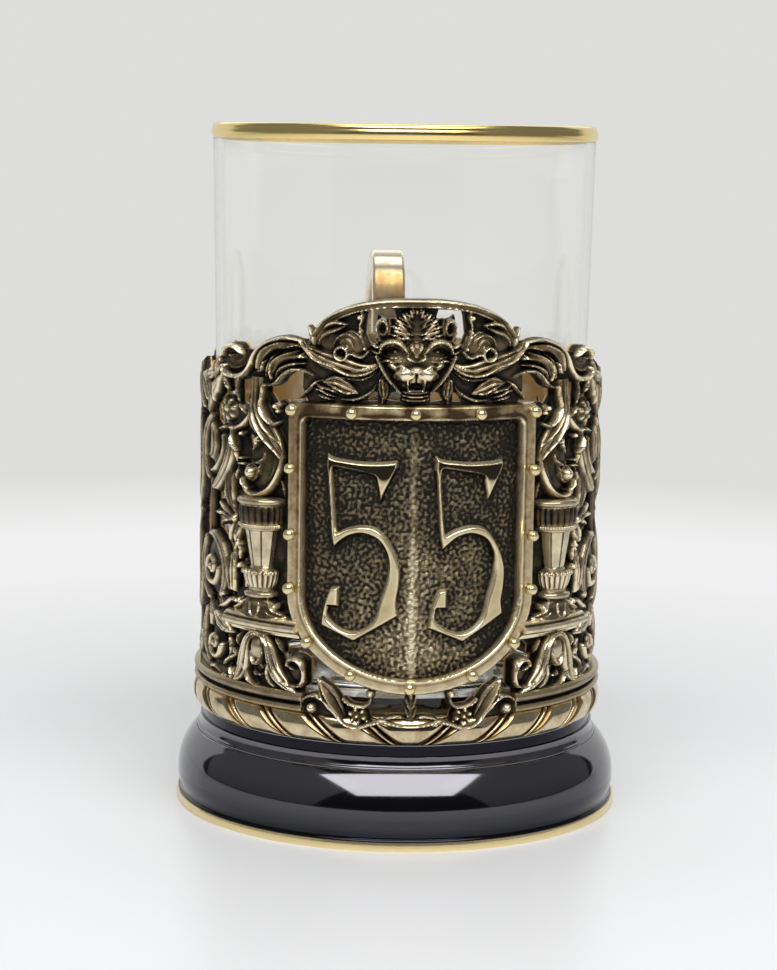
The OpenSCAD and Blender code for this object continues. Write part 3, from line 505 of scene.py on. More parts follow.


# Relief: a drawing on the unrolled wall, s along the wall and z up, in millimetres
class Relief:
    """Signed inside distance and height of one casting, on an even grid."""

    def __init__(self, s0, s1, z0, z1, pitch):
        self.pitch = pitch
        self.s = np.arange(s0, s1 + pitch / 2, pitch)
        self.z = np.arange(z0, z1 + pitch / 2, pitch)
        self.S, self.Z = np.meshgrid(self.s, self.z, indexing="ij")
        self.inside = np.full(self.S.shape, -9.0)
        self.height = np.zeros(self.S.shape)
        # painted shade (below 0) and painted highlight (above 0), added to the shading
        self.tone = np.zeros(self.S.shape)

    def window(self, low, high, margin):
        """The part of the grid round a box."""
        i0, i1 = np.searchsorted(self.s, (low[0] - margin, high[0] + margin))
        k0, k1 = np.searchsorted(self.z, (low[1] - margin, high[1] + margin))
        return slice(max(i0, 0), i1), slice(max(k0, 0), k1)

    def nearest(self, line, where):
        """Distance to the line, side of it (+ left) and place along it, for a window of the grid."""
        S, Z = self.S[where], self.Z[where]
        best = np.full(S.shape, 1e9)
        side = np.zeros(S.shape)
        place = np.zeros(S.shape)
        run = np.concatenate([[0], np.cumsum(np.linalg.norm(np.diff(line, axis=0), axis=1))])
        for i in range(len(line) - 1):
            a, d = line[i], line[i + 1] - line[i]
            size = max(d @ d, 1e-9)
            t = np.clip(((S - a[0]) * d[0] + (Z - a[1]) * d[1]) / size, 0, 1)
            ds, dz = S - a[0] - t * d[0], Z - a[1] - t * d[1]
            gap = ds * ds + dz * dz
            near = gap < best
            best = np.where(near, gap, best)
            side = np.where(near, np.sign(d[0] * dz - d[1] * ds), side)
            place = np.where(near, run[i] + t * math.sqrt(size), place)
        return np.sqrt(best), side, place / max(run[-1], 1e-9)

    def along(self, points, widths, margin):
        """Window round a line, with the distance, side and place along it and its half width there."""
        line = flowing(points, STROKE_STEP)
        where = self.window(line.min(0), line.max(0), max(widths) + margin)
        gap, side, t = self.nearest(line, where)
        return where, gap, side, t, np.maximum(np.interp(t, np.linspace(0, 1, len(widths)), widths), 0.02)

    def stroke(self, points, widths, heights, form="round"):
        """Lays a shaped stroke; widths are half widths along the way, heights above the web."""
        where, gap, side, t, w = self.along(points, widths, 1.0)
        u = np.clip(gap / w, 0, 1)
        x = u * side
        body = np.sqrt(np.clip(1 - u * u, 0, 1))
        if form == "round":
            body = 0.58 * body + 0.42 * (1 - u)
        elif form == "flat":
            body = np.clip((1 - u) * 3, 0, 1) ** 0.5
        elif form == "cup":
            body = body ** 0.4 * (0.42 + 0.58 * np.clip(u / 0.72, 0, 1) ** 2.2)
        elif form == "vein":
            body = body ** 0.5 * (0.75 + 0.25 * np.clip(1 - u / 0.28, 0, 1))
            body = np.where(u > 0.28, body * (0.62 + 0.38 * np.clip((u - 0.28) / 0.5, 0, 1)), body)
        elif form == "leafy":
            body = body ** 0.5 * (0.56 + 0.44 * np.abs(np.cos(x * math.pi * 1.5)) ** 0.6)
        elif form in ("rim", "rim_right"):
            x = x if form == "rim" else -x
            body = body ** 0.5 * np.where(x > 0.35, 1.0, 0.5 + 0.25 * (x + 1))
        rise = np.where(gap < w, np.interp(t, np.linspace(0, 1, len(heights)), heights) * body, 0.0)
        self.height[where] = np.maximum(self.height[where], rise)
        self.inside[where] = np.maximum(self.inside[where], w - gap)

    def carve(self, points, widths, depth):
        """A rounded groove in what is there."""
        where, gap, _, _, w = self.along(points, widths, 0.5)
        self.height[where] -= depth * np.clip(1 - (gap / w) ** 2, 0, 1)

    def polygon(self, corners):
        """Signed inside distance of a closed outline over the whole grid."""
        c = np.array(corners, float)
        ring = np.vstack([c, c[:1]])
        gap = self.nearest(ring, (slice(None), slice(None)))[0]
        within = np.zeros(self.S.shape, bool)
        for (x0, y0), (x1, y1) in zip(ring[:-1], ring[1:]):
            if y0 != y1:
                cross = (self.Z >= min(y0, y1)) & (self.Z < max(y0, y1))
                within ^= cross & (self.S < x0 + (self.Z - y0) * (x1 - x0) / (y1 - y0))
        return np.where(within, gap, -gap)

    def raise_to(self, where, height):
        """Lifts the surface to a height, where it is lower."""
        self.height = np.where(where, np.maximum(self.height, height), self.height)

    def plate(self, corners, height):
        """A flat plate with a softened edge."""
        d = self.polygon(corners)
        self.inside = np.maximum(self.inside, d)
        self.raise_to(d > 0, height * np.clip(d / PLATE_BEVEL, 0, 1) ** 0.5)

    def hole(self, corners):
        """An opening through the casting."""
        self.inside = np.minimum(self.inside, -self.polygon(corners))

    def oval(self, s, z, rs, rz, turn):
        """Squared distance from an oval's centre; 1 on its edge."""
        c, k = math.cos(math.radians(turn)), math.sin(math.radians(turn))
        ds, dz = self.S - s, self.Z - z
        a, b = (ds * c + dz * k) / rs, (-ds * k + dz * c) / rz
        return a * a + b * b

    def bump(self, s, z, rs, rz, height, power=0.5, solid=False, turn=0.0, base=0.0):
        """A rounded boss at a point, added as a maximum."""
        q = self.oval(s, z, rs, rz, turn)
        self.raise_to(q < 1, base + height * np.clip(1 - q, 0, 1) ** power)
        if solid:
            self.inside = np.maximum(self.inside, (1 - np.sqrt(q)) * min(rs, rz))

    def paint(self, s, z, rs, rz, tone, turn=0.0):
        """Painted shade (darker) or painted highlight (brighter) round a point."""
        self.tone += tone * np.clip(1.6 * (1 - self.oval(s, z, rs, rz, turn)), 0, 1)

    def dent(self, s, z, rs, rz, depth, turn=0.0):
        """A rounded hollow at a point."""
        self.height -= depth * np.clip(1 - self.oval(s, z, rs, rz, turn), 0, 1)

    def ring(self, s, z, r, w, height, solid=True):
        """A round ring with a half-round section."""
        d = np.abs(np.hypot(self.S - s, self.Z - z) - r)
        self.raise_to(d < w, height * np.sqrt(np.clip(1 - (d / w) ** 2, 0, 1)))
        if solid:
            self.inside = np.maximum(self.inside, w - d)

    def volute(self, s, z, r, w, height, start=0.0, turns=1.6, hand=1, form="round", end=0.2):
        """A scroll that winds in from radius r to an eye."""
        t = np.linspace(0, 1, int(18 * turns) + 4)
        radius = r * (1 - (1 - end) * t ** 0.85)
        angle = np.radians(start) + hand * t * turns * 2 * math.pi
        pts = np.stack([s + radius * np.cos(angle), z + radius * np.sin(angle)], 1)
        self.stroke(pts, [w, w * 0.9, w * 0.75, w * 0.6], [height, height, height * 0.95], form)
        self.bump(s, z, w * 0.95, w * 0.95, height * 1.1, solid=True)

    def smooth_height(self, rounds=1):
        """Softens the drawing by about a grid step for each round."""
        for _ in range(rounds):
            h = np.pad(self.height, 1, mode="edge")
            self.height = (h[1:-1, 1:-1] * 4 + h[:-2, 1:-1] + h[2:, 1:-1] + h[1:-1, :-2] + h[1:-1, 2:]) / 8

    def mirror_halves(self):
        """Repeats the drawn right half on the left; the grid is symmetric about s = 0."""
        self.height = np.maximum(self.height, self.height[::-1])
        self.inside = np.maximum(self.inside, self.inside[::-1])
        self.tone = self.tone + self.tone[::-1]

    def mesh(self, name, mirror=1, web=None, back=None, wear_and_shade=0.6, level=(0.0, 2.0)):
        """Closed mesh of the drawing, wrapped round the wall."""
        keep = self.inside > -0.5 * self.pitch
        cell = keep[:-1, :-1] & keep[1:, :-1] & keep[1:, 1:] & keep[:-1, 1:]
        for _ in range(3):
            a, b, c, d = cell[:-1, :-1], cell[1:, :-1], cell[1:, 1:], cell[:-1, 1:]
            pinch = (a & c & ~b & ~d) | (b & d & ~a & ~c)
            if not pinch.any():
                break
            i, k = np.nonzero(pinch)
            cell[i, k] = cell[i + 1, k] = cell[i + 1, k + 1] = cell[i, k + 1] = True
        gs, gz = np.gradient(self.inside, self.pitch)
        size = np.maximum(np.hypot(gs, gz), 0.2)
        pad = np.pad(cell, 1)
        corners = [pad[:-1, :-1], pad[1:, :-1], pad[:-1, 1:], pad[1:, 1:]]
        used = corners[0] | corners[1] | corners[2] | corners[3]
        rim = used & ~(corners[0] & corners[1] & corners[2] & corners[3])
        move = np.where(rim, np.clip(-self.inside / size, -0.6 * self.pitch, 0.45 * self.pitch), 0)
        S = self.S + move * gs / size
        Z = self.Z + move * gz / size
        front = (WALL_IN + 1.2 if web is None else web) + np.maximum(self.height, -0.6)
        rear = np.full_like(front, WALL_IN + 0.02 if back is None else back)
        # Painted shade and highlight: the low web and the hollows are darkened and the ridges lightened, together
        # with the patina of the hollows; tone adds painted spots of shade and highlight.
        wide = blur(self.height, max(int(0.55 / self.pitch), 1), 3)
        shade = 0.1 + 0.36 * (self.height - level[0]) / (level[1] - level[0]) + 0.42 * (self.height - wide) / wear_and_shade
        shade = np.clip(shade + self.tone, 0, 1)
        index = -np.ones(S.shape, int)
        index[used] = np.arange(used.sum())
        n = used.sum()
        ang = mirror * S[used] / WALL_UNROLL_R
        z = Z[used]
        rf, rb = front[used], rear[used]
        verts = np.concatenate([np.stack([np.sin(ang) * rf, -np.cos(ang) * rf, z], 1),
                                np.stack([np.sin(ang) * rb, -np.cos(ang) * rb, z], 1)])
        i, k = np.nonzero(cell)
        quad = np.stack([index[i, k], index[i + 1, k], index[i + 1, k + 1], index[i, k + 1]], 1)
        faces = [quad, quad[:, ::-1] + n]
        for di, dk, a, b in ((0, -1, 0, 1), (1, 0, 1, 2), (0, 1, 2, 3), (-1, 0, 3, 0)):
            open_side = cell[i, k] & ~pad[i + 1 + di, k + 1 + dk]
            e0, e1 = quad[open_side, a], quad[open_side, b]
            faces.append(np.stack([e1, e0, e0 + n, e1 + n], 1))
        faces = np.concatenate(faces)
        if mirror < 0:
            faces = faces[:, ::-1]
        obj = add_mesh(name, verts, faces, RELIEF_SHARP)
        store(obj.data, np.concatenate([shade[used], np.full(n, REAR_MARK)]))
        return obj


def blur(grid, reach, rounds=1):
    """Box blur of a grid, edge-padded."""
    for axis in (0, 1) * rounds:
        pad = [(0, 0), (0, 0)]
        pad[axis] = (reach + 1, reach)
        run = np.cumsum(np.pad(grid, pad, mode="edge"), axis=axis)
        n = grid.shape[axis]
        high = np.take(run, np.arange(2 * reach + 1, 2 * reach + 1 + n), axis=axis)
        low = np.take(run, np.arange(0, n), axis=axis)
        grid = (high - low) / (2 * reach + 1)
    return grid


def numbers(text):
    """Numbers that are parted by spaces."""
    return [float(v) for v in text.split()]


def points(text):
    """Points of a drawing, written as "s z, s z, ..."."""
    return [tuple(numbers(spot)) for spot in text.split(",")]


def petals(dome, count, first, s, z, out_s, out_z, *size):
    """A ring of solid domes that point away from its middle."""
    for j in range(int(count)):
        a = 2 * math.pi * j / count + first
        dome(s + out_s * math.cos(a), z + out_z * math.sin(a), *size, solid=True, turn=math.degrees(a))


def draw(r, drawing, **own):
    """Draws the rows of a drawing on a relief, in their order. Lengths are in millimetres.

    form: points | half widths | heights    a stroke; its form is one of Relief.stroke's
    lines height half-width: points; ...    strokes that taper at both ends
    plate height: corners                   a plate; hole: corners is an opening
    carve depth: points | half widths       a groove
    dome, ring, dent, paint                 the values of Relief.bump, .ring, .dent and .paint
    petals                                  the values of petals, from its count on

    own gives functions that take the place of the Relief's, for its stroke and for the words.
    """
    calls = {"dome": r.bump, "ring": r.ring, "dent": r.dent, "paint": r.paint, "stroke": r.stroke, **own}
    for row in drawing.strip().splitlines():
        head, _, rest = row.partition(":")
        word, *values = head.split()
        if word.startswith("#"):
            continue
        plain = [float(v) for v in values if "=" not in v]
        named = {key: float(v) for key, v in (v.split("=") for v in values if "=" in v)}
        if word == "petals":
            petals(calls["dome"], *plain)
        elif word in calls:
            calls[word](*plain, **named)
        elif word == "lines":
            height, width = plain
            for way in rest.split(";"):
                r.stroke(points(way), [width * 0.35, width, width, width * 0.35],
                         [height * 0.7, height, height, height * 0.7])
        elif word == "hole":
            r.hole(points(rest))
        elif word == "plate":
            r.plate(points(rest), *plain)
        elif word == "carve":
            way, widths = rest.split("|")
            r.carve(points(way), numbers(widths), *plain)
        else:
            way, widths, heights = rest.split("|")
            calls["stroke"](points(way), numbers(widths), numbers(heights), word)


# Locks of the lion's tuft: along the wall, height, turn in degrees, size
TUFT = [(0.9, 93.3, 112, 0.8), (1.9, 92.6, 132, 0.9), (2.9, 91.9, 150, 0.9), (1.4, 91.7, 124, 0.9),
        (2.2, 90.9, 146, 1.0), (3.4, 90.9, 164, 0.9), (3.0, 90.1, 160, 1.05), (1.9, 89.7, 150, 0.9),
        (3.7, 89.6, 172, 0.8), (2.6, 89.1, 166, 0.85)]


def build_crest():
    """Arched crest: lion mask between ringed scrolls and swept mane leaves."""
    r = Relief(-21, 21, 77.4, 96.2, 0.15)
    r.plate([(-0.2, 77.6), (19.6, 77.6), (20.8, 80), (20.6, 84.5), (18.6, 88.5), (17, 91), (13.5, 93.2), (9, 94.6),
             (0, 95), (-0.2, 95)], 0.05)
    bow = [(-0.5, 94.95), (4, 94.9), (8, 94.45), (11, 93.8), (14, 92.6), (16.4, 91.0), (17.9, 89.2), (18.3, 87.8)]
    r.stroke(bow, [0.85], [1.15, 1.15, 1.1, 1.0], "flat")
    r.stroke([(s * 1.012, z + 0.42) for s, z in bow], [0.36], [1.95, 1.9, 1.8, 1.5])
    r.stroke([(s * 0.985, z - 0.5) for s, z in bow], [0.34], [1.75, 1.7, 1.6, 1.3])
    draw(r, """
        round: 18.2 87.9, 18.7 89.3, 19.5 90.7 | .9 .8 .12 | 1.5 1.6 1
        round: 18.1 88.4, 18.5 89.5 | .4 .2 | 1.9 1.5
        # ringed scroll
        dome 11 88 3.3 2.5 1.35
        dome 15.6 88.2 2.2 2.6 .9 turn=-35
        lines 1.75 .34: 14.6 86.6, 14.2 88.3, 13 89.4, 11.6 89.5, 10.5 88.8, 9.8 87.8, 9.2 86.8; 13.4 88, \
            12.6 88.8, 11.8 88.6, 11.1 87.8, 10.6 86.8, 10.1 86.4; 12.2 90.1, 10.8 90, 9.7 89.2, 9 87.8, \
            8.6 86.9; 12.5 87.8, 11.9 87.4, 11.5 86.6
        round: 12.2 86, 11 86.2, 10.2 85.8, 9.2 85.8, 8.3 86.7 | .3 .42 .4 .42 .3 | 2 2.1 2 2.1 1.9
        round: 16.4 90.2, 15.2 91.2, 13.8 91.5, 12 91.2 | .3 .6 .55 .15 | 1.7 2.3 2.2 1.6
        rim: 17.3 87.8, 16.8 89, 15.6 89.9, 14 90.4, 12.4 91 | .3 .6 .62 .5 .15 | 1.6 2 2.1 2 1.5
        ring 13 86.2 1.12 .36 2.1
        dent 13 86.2 .85 .85 .9
        dome 8.9 87.2 .5 .45 2
        round: 9.7 94, 9.4 92.4, 9.9 91, 9.5 89.6, 8.9 88.2 | .5 .55 .4 .5 .3 | 1.2 1.5 1.2 1.5 1.3
        dome 9.9 92.5 .6 .6 1.9
        dome 9.7 90.1 .5 .5 1.9
        round: 15.9 87.6, 15.2 89, 13.8 90.1 | .2 .35 .15 | .9 1 .8
        # mane leaves that sweep out to the acanthus
        leafy: 20.9 88.1, 18.6 86.3, 16.4 85.2, 13.6 84.4, 10.6 83.6, 8.4 83.6, 6.4 84.6 | \
            .3 1 1.5 1.7 1.7 1.2 .4 | 1 1.5 1.75 1.9 1.9 1.7 1.2
        round: 20.9 88, 19.4 86.5, 18 85.2, 16.4 84.5, 14.8 84.1, 13.4 83.4, 12 82.8, 10.2 82.6, 8.4 83, 6.6 84 | \
            .25 .4 .45 .48 .5 .6 .6 .5 .35 .15 | 1.9 2.2 2.3 2.3 2.3 2.4 2.4 2.2 2 1.6
        lines 1.95 .26: 20.4 88.4, 19 87, 17.2 86.5, 15.6 85.8, 14.6 85.2; 12.7 84.4, 11.2 83.8, 9.4 83.7, \
            7.2 84.3; 14.6 82.2, 13 82.2, 11 81.9, 9.4 81.9, 8 82.4, 6.6 83.5; 17.8 85.9, 16.4 85.5, 15.2 84.9; \
            12 83.5, 10.6 83.15, 9 83.3
        leafy: 16.4 81.2, 14.2 81.2, 12.2 80.4, 10.2 79.5 | .3 1.5 1.4 .3 | 1 1.7 1.6 1
        lines 1.9 .3: 15.6 81, 14.2 80.5, 12.8 79.7, 11.6 79.4, 10.5 79.6; 15 81.5, 13.8 81, 12.8 80.9; \
            18.4 79.9, 16.8 79.8, 15.6 79.2, 14 78.7; 17.6 79, 16 78.6, 14.6 78.2; 17.9 81, 16.8 80.3, 15.2 80, \
            13.6 79.3
        lines 1.8 .34: 13.2 78.4, 11.2 78.3, 9.8 78.6, 8.6 79.2, 7.4 80.1, 6.8 81.2; 16.6 81.5, 17.8 81.1, \
            18.8 80, 20.2 78.8, 20.9 78.2
        vein: 5.7 82.9, 5.7 81.2, 5.5 79.6, 5.8 77.9 | .25 .75 .75 .3 | 1.3 1.7 1.6 1
        lines 1.8 .2: 6.3 82, 6.3 80.4, 5.9 78.8; 5 81.8, 4.8 80.4, 5.3 78.6
        # openings of the crest
        hole: 6.7 88.2, 7.5 87.8, 8.3 88.3, 9 89.9, 8.8 91.4, 8.6 93, 8.3 93.95, 6.4 93.9, 6.9 92.6, 6.9 90
        hole: 3.5 92.6, 4.6 92.3, 6 92.6, 6.6 93, 6.6 94, 3.9 94
        hole: 8.6 78.15, 6.7 78.15, 6.7 79.6, 7.1 79.9, 7.9 79.2
        hole: 5 78.4, 2.7 78.15, 2.6 79.1, 3.4 79.9, 4.3 79.7
        # lion: locks of the tuft, ears
        round: 0 88.5, -.1 91, -.2 94.9 | 3.4 3.9 .5 | 1.4 1.5 .9
    """)
    for s, z, turn, size in TUFT:
        r.bump(s, z, 1.1 * size, 0.34 * size, 0.7, 0.5, turn=180 - turn, base=1.4)
        r.bump(s - 0.3, z + 0.5, 0.8 * size, 0.16 * size, 0.5, 0.5, turn=185 - turn, base=1.6)
        r.bump(s - 0.9, z + 0.2, 0.7 * size, 0.18 * size, 0.5, 0.5, turn=175 - turn, base=1.5)
    # The face's paint rows are painted light: painted shade in the eye sockets, the mouth, beside the muzzle and
    # under the cheeks; painted highlights on cheeks, brow and muzzle; a painted glint in each eye; and a slight
    # darkening over the tuft.
    draw(r, """
        dome 5.75 90.6 1.15 1.6 1.5
        round: 6.2 88.7, 6.75 89.8, 6.75 91.2, 6 92.1, 5.2 91.6, 4.95 90.2 | .3 .36 .42 .5 .42 .3 | \
            1.7 2 2.2 2.5 2.2 1.8
        dent 5.85 90.6 .55 .95 1.2
        round: 4.7 92.2, 4.5 90.9, 4.9 89.2 | .3 .5 .4 | 1.4 1.5 1.3
        lines 1.6 .32: 7.9 87.9, 6.8 87.5, 5.7 87.7; 7.9 87, 6.9 86.5, 5.8 86.5; 7.6 86, 6.6 85.6, 5.6 85.6; \
            7 88.9, 6.2 88.6, 5.2 88.9
        # lion: face
        dome 0 85 5.7 5.4 1.75
        dome 0 87.2 2.5 1.7 2.2
        dome .72 87.5 .5 1.05 3.1 turn=-14
        dome 0 86.2 .75 1 2.3
        round: 6.3 86.6, 5.9 87.7, 5 88.4, 3.8 88.6, 2.7 88.2, 1.9 87.3, 1.2 86.3 | .3 .55 .75 .85 .8 .65 .3 | \
            2 2.6 3 3.2 3.2 3 2.4
        dent 3.7 86.85 1.3 .7 1.2 turn=-12
        paint 3.8 86.95 1.35 .5 -.5 turn=-12
        round: 5.6 87.1, 4.6 87.75, 3.4 87.7, 2.4 87 | .15 .24 .26 .15 | 1.9 2.3 2.4 2.3
        paint 3.4 85.4 2.2 .6 .16
        paint 2 88.6 2.4 .9 .1
        lines 2.5 .2: 2.6 89.6, 1.6 89.1, .2 88.9; 2.2 90.3, 1.2 89.8, .1 89.7
        paint 2.9 82 .6 1.3 -.6 turn=-20
        paint 0 80.85 1.15 .7 -.45
        paint 4 83.4 .5 1.6 -.5 turn=-35
        paint 0 91.2 2.3 3 -.08
        paint .9 82.6 1.6 .8 .12
        dome 3.6 86.85 .5 .34 2.3
        paint 3.5 86.95 .3 .22 .7
        lines 1.9 .2: 6.2 86.3, 5 85.85, 3.6 85.7, 2.4 86, 1.6 86.5
        round: 6.2 84.9, 5 85.3, 3.8 85, 2.6 85.1 | .15 .34 .3 .15 | 1.8 2.2 2.3 2.2
        lines 3.1 .2: 1.3 88.3, .7 87, .1 86.4; 1.9 86.2, 1.2 85.4, .5 85
        round: 1.6 86.3, .95 85.6, .2 85.1 | .2 .34 .3 | 2.6 3 3
        dome 3.9 84.2 1.5 .9 2.1 turn=30
        dome 2.2 83.9 1.05 .75 2.9
        dome 0 82.7 3.4 1.9 2.2
        dome 1.75 83 2.3 1.3 3 .22 turn=-10
        paint 1.9 83.1 2 1 .12
        round: 3.6 84, 2.8 84.5, 1.9 84.2, 1.3 83.7 | .2 .4 .42 .25 | 2.3 2.8 3 3.1
        dome 0 83.75 1.45 .8 3.45 .28
        dent .72 83.25 .32 .24 1
        carve .9: 0 83, .1 82.2, 0 81.4 | .2
        dent 0 80.85 1.2 .62 2.8
        dent 2.75 80.9 .75 1.25 1.6 turn=-28
        round: 1.42 81.9, 1.38 81, 1.3 80.1 | .42 .34 .16 | 2.9 2.8 2.3
        round: -.4 80.15, .6 80.12, 1.3 80.2 | .24 | 2.6
        round: 6.9 86, 6 84.2, 4.8 82.2, 3.6 80.8, 2.5 79.6 | .3 .55 .5 .4 .25 | 2 2.4 2.3 2.2 2
        lines 1.8 .26: 6 84.6, 5 83, 4.1 81.6, 3.4 80.4
    """)
    for z in (79.75, 79.1, 78.45):
        r.stroke([(-0.8, z), (1.0, z + 0.02), (2.2, z + 0.2)], [0.27, 0.27, 0.18], [2.5, 2.4, 1.9])
    r.mirror_halves()
    r.smooth_height(1)
    return dress(r.mesh("crest", level=(-0.9, 2.0)), BRASS,
                 ["crest_arch", "lion_mask", "crest_scroll_left", "crest_scroll_right"])


def build_acanthus(mirror, side):
    """Ribbed acanthus that rides over the top edge and curls at its outer end."""
    r = Relief(17.2, 41, 76.6, 89.4, 0.16)
    draw(r, """
        plate .05: 18.6 82.4, 20.6 83, 23.2 82.6, 25 80.8, 28 79.9, 31.4 79.9, 33.4 81.2, 36 80.7, 39.6 81.6, \
            40.2 84, 38.6 86.2, 34 85.8, 31.6 85.6, 28 87.6, 24 88.5, 21.2 88, 18.8 86.2
        round: 20.8 88, 22.6 88.3, 24.6 88.3, 26.6 87.8, 28.6 87, 30.2 85.9, 31.3 84.6, \
            32 83.2, 33.2 81.9, 35.4 81.1, 37.6 81.3, 39.6 82.2 | .3 .55 .6 .6 .6 .55 .55 | \
            1.6 2 2.1 2 2.1 2.3 2
        round: 20.6 87.2, 24.2 87.2, 27.2 86.4, 29.4 84.6, 30.4 82.6 | .6 .9 .9 .8 .4 | 1.1 1.3 1.4 1.3 1
        round: 20 85.4, 22.8 85.2, 25.4 84.2, 26.8 82.2 | .6 .9 .9 .4 | 1.1 1.4 1.4 1.1
        lines 2.15 .42: 22.2 87.4, 24.6 87.5, 26.8 86.9, 28.8 85.9, 30 84.4, 30.8 82.6; 27.2 80.9, 27.2 82.5, \
            26.5 83.9, 25.2 84.9, 23.6 85.6, 22.2 86, 20.9 86.4; 26 81.3, 25.4 82.4, 24 83.4, 22 84, 20 84.2; \
            29 79.8, 26.8 80.1, 25.4 80.8, 24.2 82, 22.8 82.9, 21.2 83.1, 19.6 82.8, 18.3 82.2
        lines 1.9 .28: 30.9 82.2, 29.2 82.4, 28.9 83.6, 28.2 84.2, 27.4 84.6; 25.2 86.5, 23.6 86.8, 21.6 87.2; \
            21.6 85.2, 20.3 85.3, 19.2 85.5; 22.6 84.9, 21.2 85.3, 19.9 86.2
        lines 1.5 .3: 28.7 81.2, 28 82.8, 26.9 84.7, 25.2 86; 29.5 83.6, 28.7 84.8, 27.4 85.9, 25.6 86.8; \
            25.2 81.8, 24.2 82.9, 22.6 83.6
        # bowl at the outer end, with its rolled lip and curled tip
        dome 36.4 83.7 4.2 2.8 .9
        round: 41 82.5, 39.8 81.4, 37.9 80.9, 35.1 80.8, 33.4 81.5, 32.2 82.7, 31.5 84.2 | \
            .2 .42 .52 .52 .48 .42 .3 | 1.9 2.3 2.5 2.5 2.4 2.2 1.9
        lines 1.55 .36: 39.4 84, 38.4 82.9, 36.8 82.3, 34.6 82.7, 33 84.1
        lines 1.3 .3: 38 84.2, 36.8 83.5, 35 83.8, 33.8 85
        round: 39.8 84.3, 38.9 85.4, 36.9 86.2, 35.2 85.9, 34.2 84.9 | .25 .55 .72 .66 .2 | 2.2 2.7 2.9 2.7 2
        round: 38.2 84.6, 37.2 84.5, 36 84.8 | .15 .3 .15 | 2 2.2 2
        dome 39 82.6 .5 .45 2.1
    """)
    r.smooth_height(1)
    return dress(r.mesh("acanthus_" + side, mirror), BRASS, ["leaf_" + side])


def build_stem(mirror, side):
    """Stem that swings down beside the shield and rolls up over the urn."""
    r = Relief(22.6, 37.2, 59.6, 81.2, 0.16)
    draw(r, """
        plate 0: 28.2 81, 31.4 81, 31.6 77.8, 33.4 75.6, 36.9 76.6, 36.9 72, 35.6 71.2, 34.6 71, 36.9 70.6, \
            36.9 62, 34.6 61.4, 32 59.9, 24 59.9, 23.2 64, 23.2 76.6, 24.8 77.6, 26.6 76.8, 28.2 78.6
        hole: 34.2 70.7, 32.4 70.8, 31.2 69.8, 31.4 68.8, 32.4 67.7, 33.3 68.4
        hole: 35 64.8, 33.9 64.9, 33.9 63.5, 34.8 62.9
        leafy: 30.3 82, 30.3 79, 30 76.2, 28.8 73.6, 27 71.2, 25.4 69.2, 24.4 67.6 | 1.4 1.4 1.7 2 2.1 1.7 .8 | \
            1.5 1.6 1.7 1.8 1.8 1.6 1.2
        round: 28.7 80, 28.7 78, 28.9 76.4, 28.3 75, 27.2 73.9, 26 73.3, 24.9 73.7 | .3 .42 .52 .6 .66 .6 .3 | \
            1.9 2.2 2.5 2.7 2.7 2.6 2.1
        lines 2.4 .4: 29.9 80.6, 30 77.6, 29.8 75.4, 28.8 73.4, 27.4 71.9, 25.9 70.7, 24.4 69.6; 31.2 78.4, \
            31.2 75.8, 30.4 73.4, 29 71.4, 27.4 69.9, 26 68.6, 24.6 66.9
        lines 2 .3: 30.6 79, 30.6 76.2, 29.6 73.6, 28 71.6, 26.2 69.9; 31.8 77, 31.9 74.8, 31.2 72.6, 29.8 70.9
        lines 1.9 .3: 28.5 70.1, 29.4 70.8, 30.2 70.3, 30.2 69.3, 30.9 68.5, 31.9 67.9; 32 66.5, 30.5 66.1, \
            29.2 66.5, 28.3 67.3, 28.7 68.2; 28.9 66.2, 29.4 65, 29.3 64; 36.4 66.3, 34.6 66.5, 32.9 66.7; \
            35.9 65.4, 34.2 65.6, 32.9 65.5; 35.6 76, 34 75.4, 33.2 74.2
        lines 2.3 .5: 37.2 70.6, 36.8 69.2, 36.1 67.6
        round: 36.2 71.6, 34.6 72.2, 33.2 73, 32.2 74.4 | .4 .6 .7 .3 | 1.6 2 2.1 1.6
        dome 34.3 70.9 .5 .5 1.9 solid=1
        dome 28.4 65.4 4.4 5.4 .9
        dome 31.2 64.4 1.4 1.35 2.8
        ring 31.2 64.4 1.45 .24 1.7 solid=0
        round: 33.2 62, 33 61.4, 31.9 60.75, 30.1 60.5, 28.2 60.95, 26.4 62.1, 25.2 63.9, 24.5 66, 24.2 68.4 | \
            .25 .5 .72 .8 .82 .78 .66 .5 .3 | 2 2.4 2.7 2.9 2.9 2.8 2.5 2.1 1.6
        round: 33.6 63.2, 33.1 62.2, 32.4 61.5 | .25 .42 .3 | 2.3 2.6 2.3
        lines 1.35 .5: 26 67.4, 26.2 65.2, 27.2 63.4, 28.8 62.5
        round: 28.5 66.8, 29.4 66.2, 30.3 66.1 | .25 .5 .2 | 2 2.4 1.9
        lines 2 .32: 31 68.2, 30.2 69.2, 29.8 70, 28.7 70.1
        dome 25.3 76.5 .8 .65 2.7 solid=1
        dome 25.2 75.6 .7 .45 2
        lines 1.2 .3: 24 60.4, 24.2 62.4, 24.9 64; 36.6 62.4, 35.8 64.2, 35.9 65
    """)
    r.smooth_height(1)
    return dress(r.mesh("stem_" + side, mirror), BRASS, ["stem_scroll_" + side])


def shield_outline(inset, radius=0.0):
    """Shield outline on the unrolled wall, drawn in by inset; the upper corners may be rounded."""
    w, b = SHIELD_HALF - inset, SHIELD_BELLY - inset
    middle = SHIELD_FOOT + SHIELD_BELLY
    pts = []
    for i in range(61):
        a = math.pi * i / 60
        pts.append((-w * math.cos(a), middle - b * math.sin(a)))
    for cx, start in ((w - radius, 0), (-w + radius, 90)):
        if radius > 0:
            for a in np.radians(np.linspace(start, start + 90, 9)):
                pts.append((cx + radius * math.cos(a), SHIELD_TOP - inset - radius + radius * math.sin(a)))
        else:
            pts.append((cx, SHIELD_TOP - inset))
    return [(WALL_UNROLL_R * math.asin(max(-1, min(1, x / STRAP_R))), z) for x, z in pts]


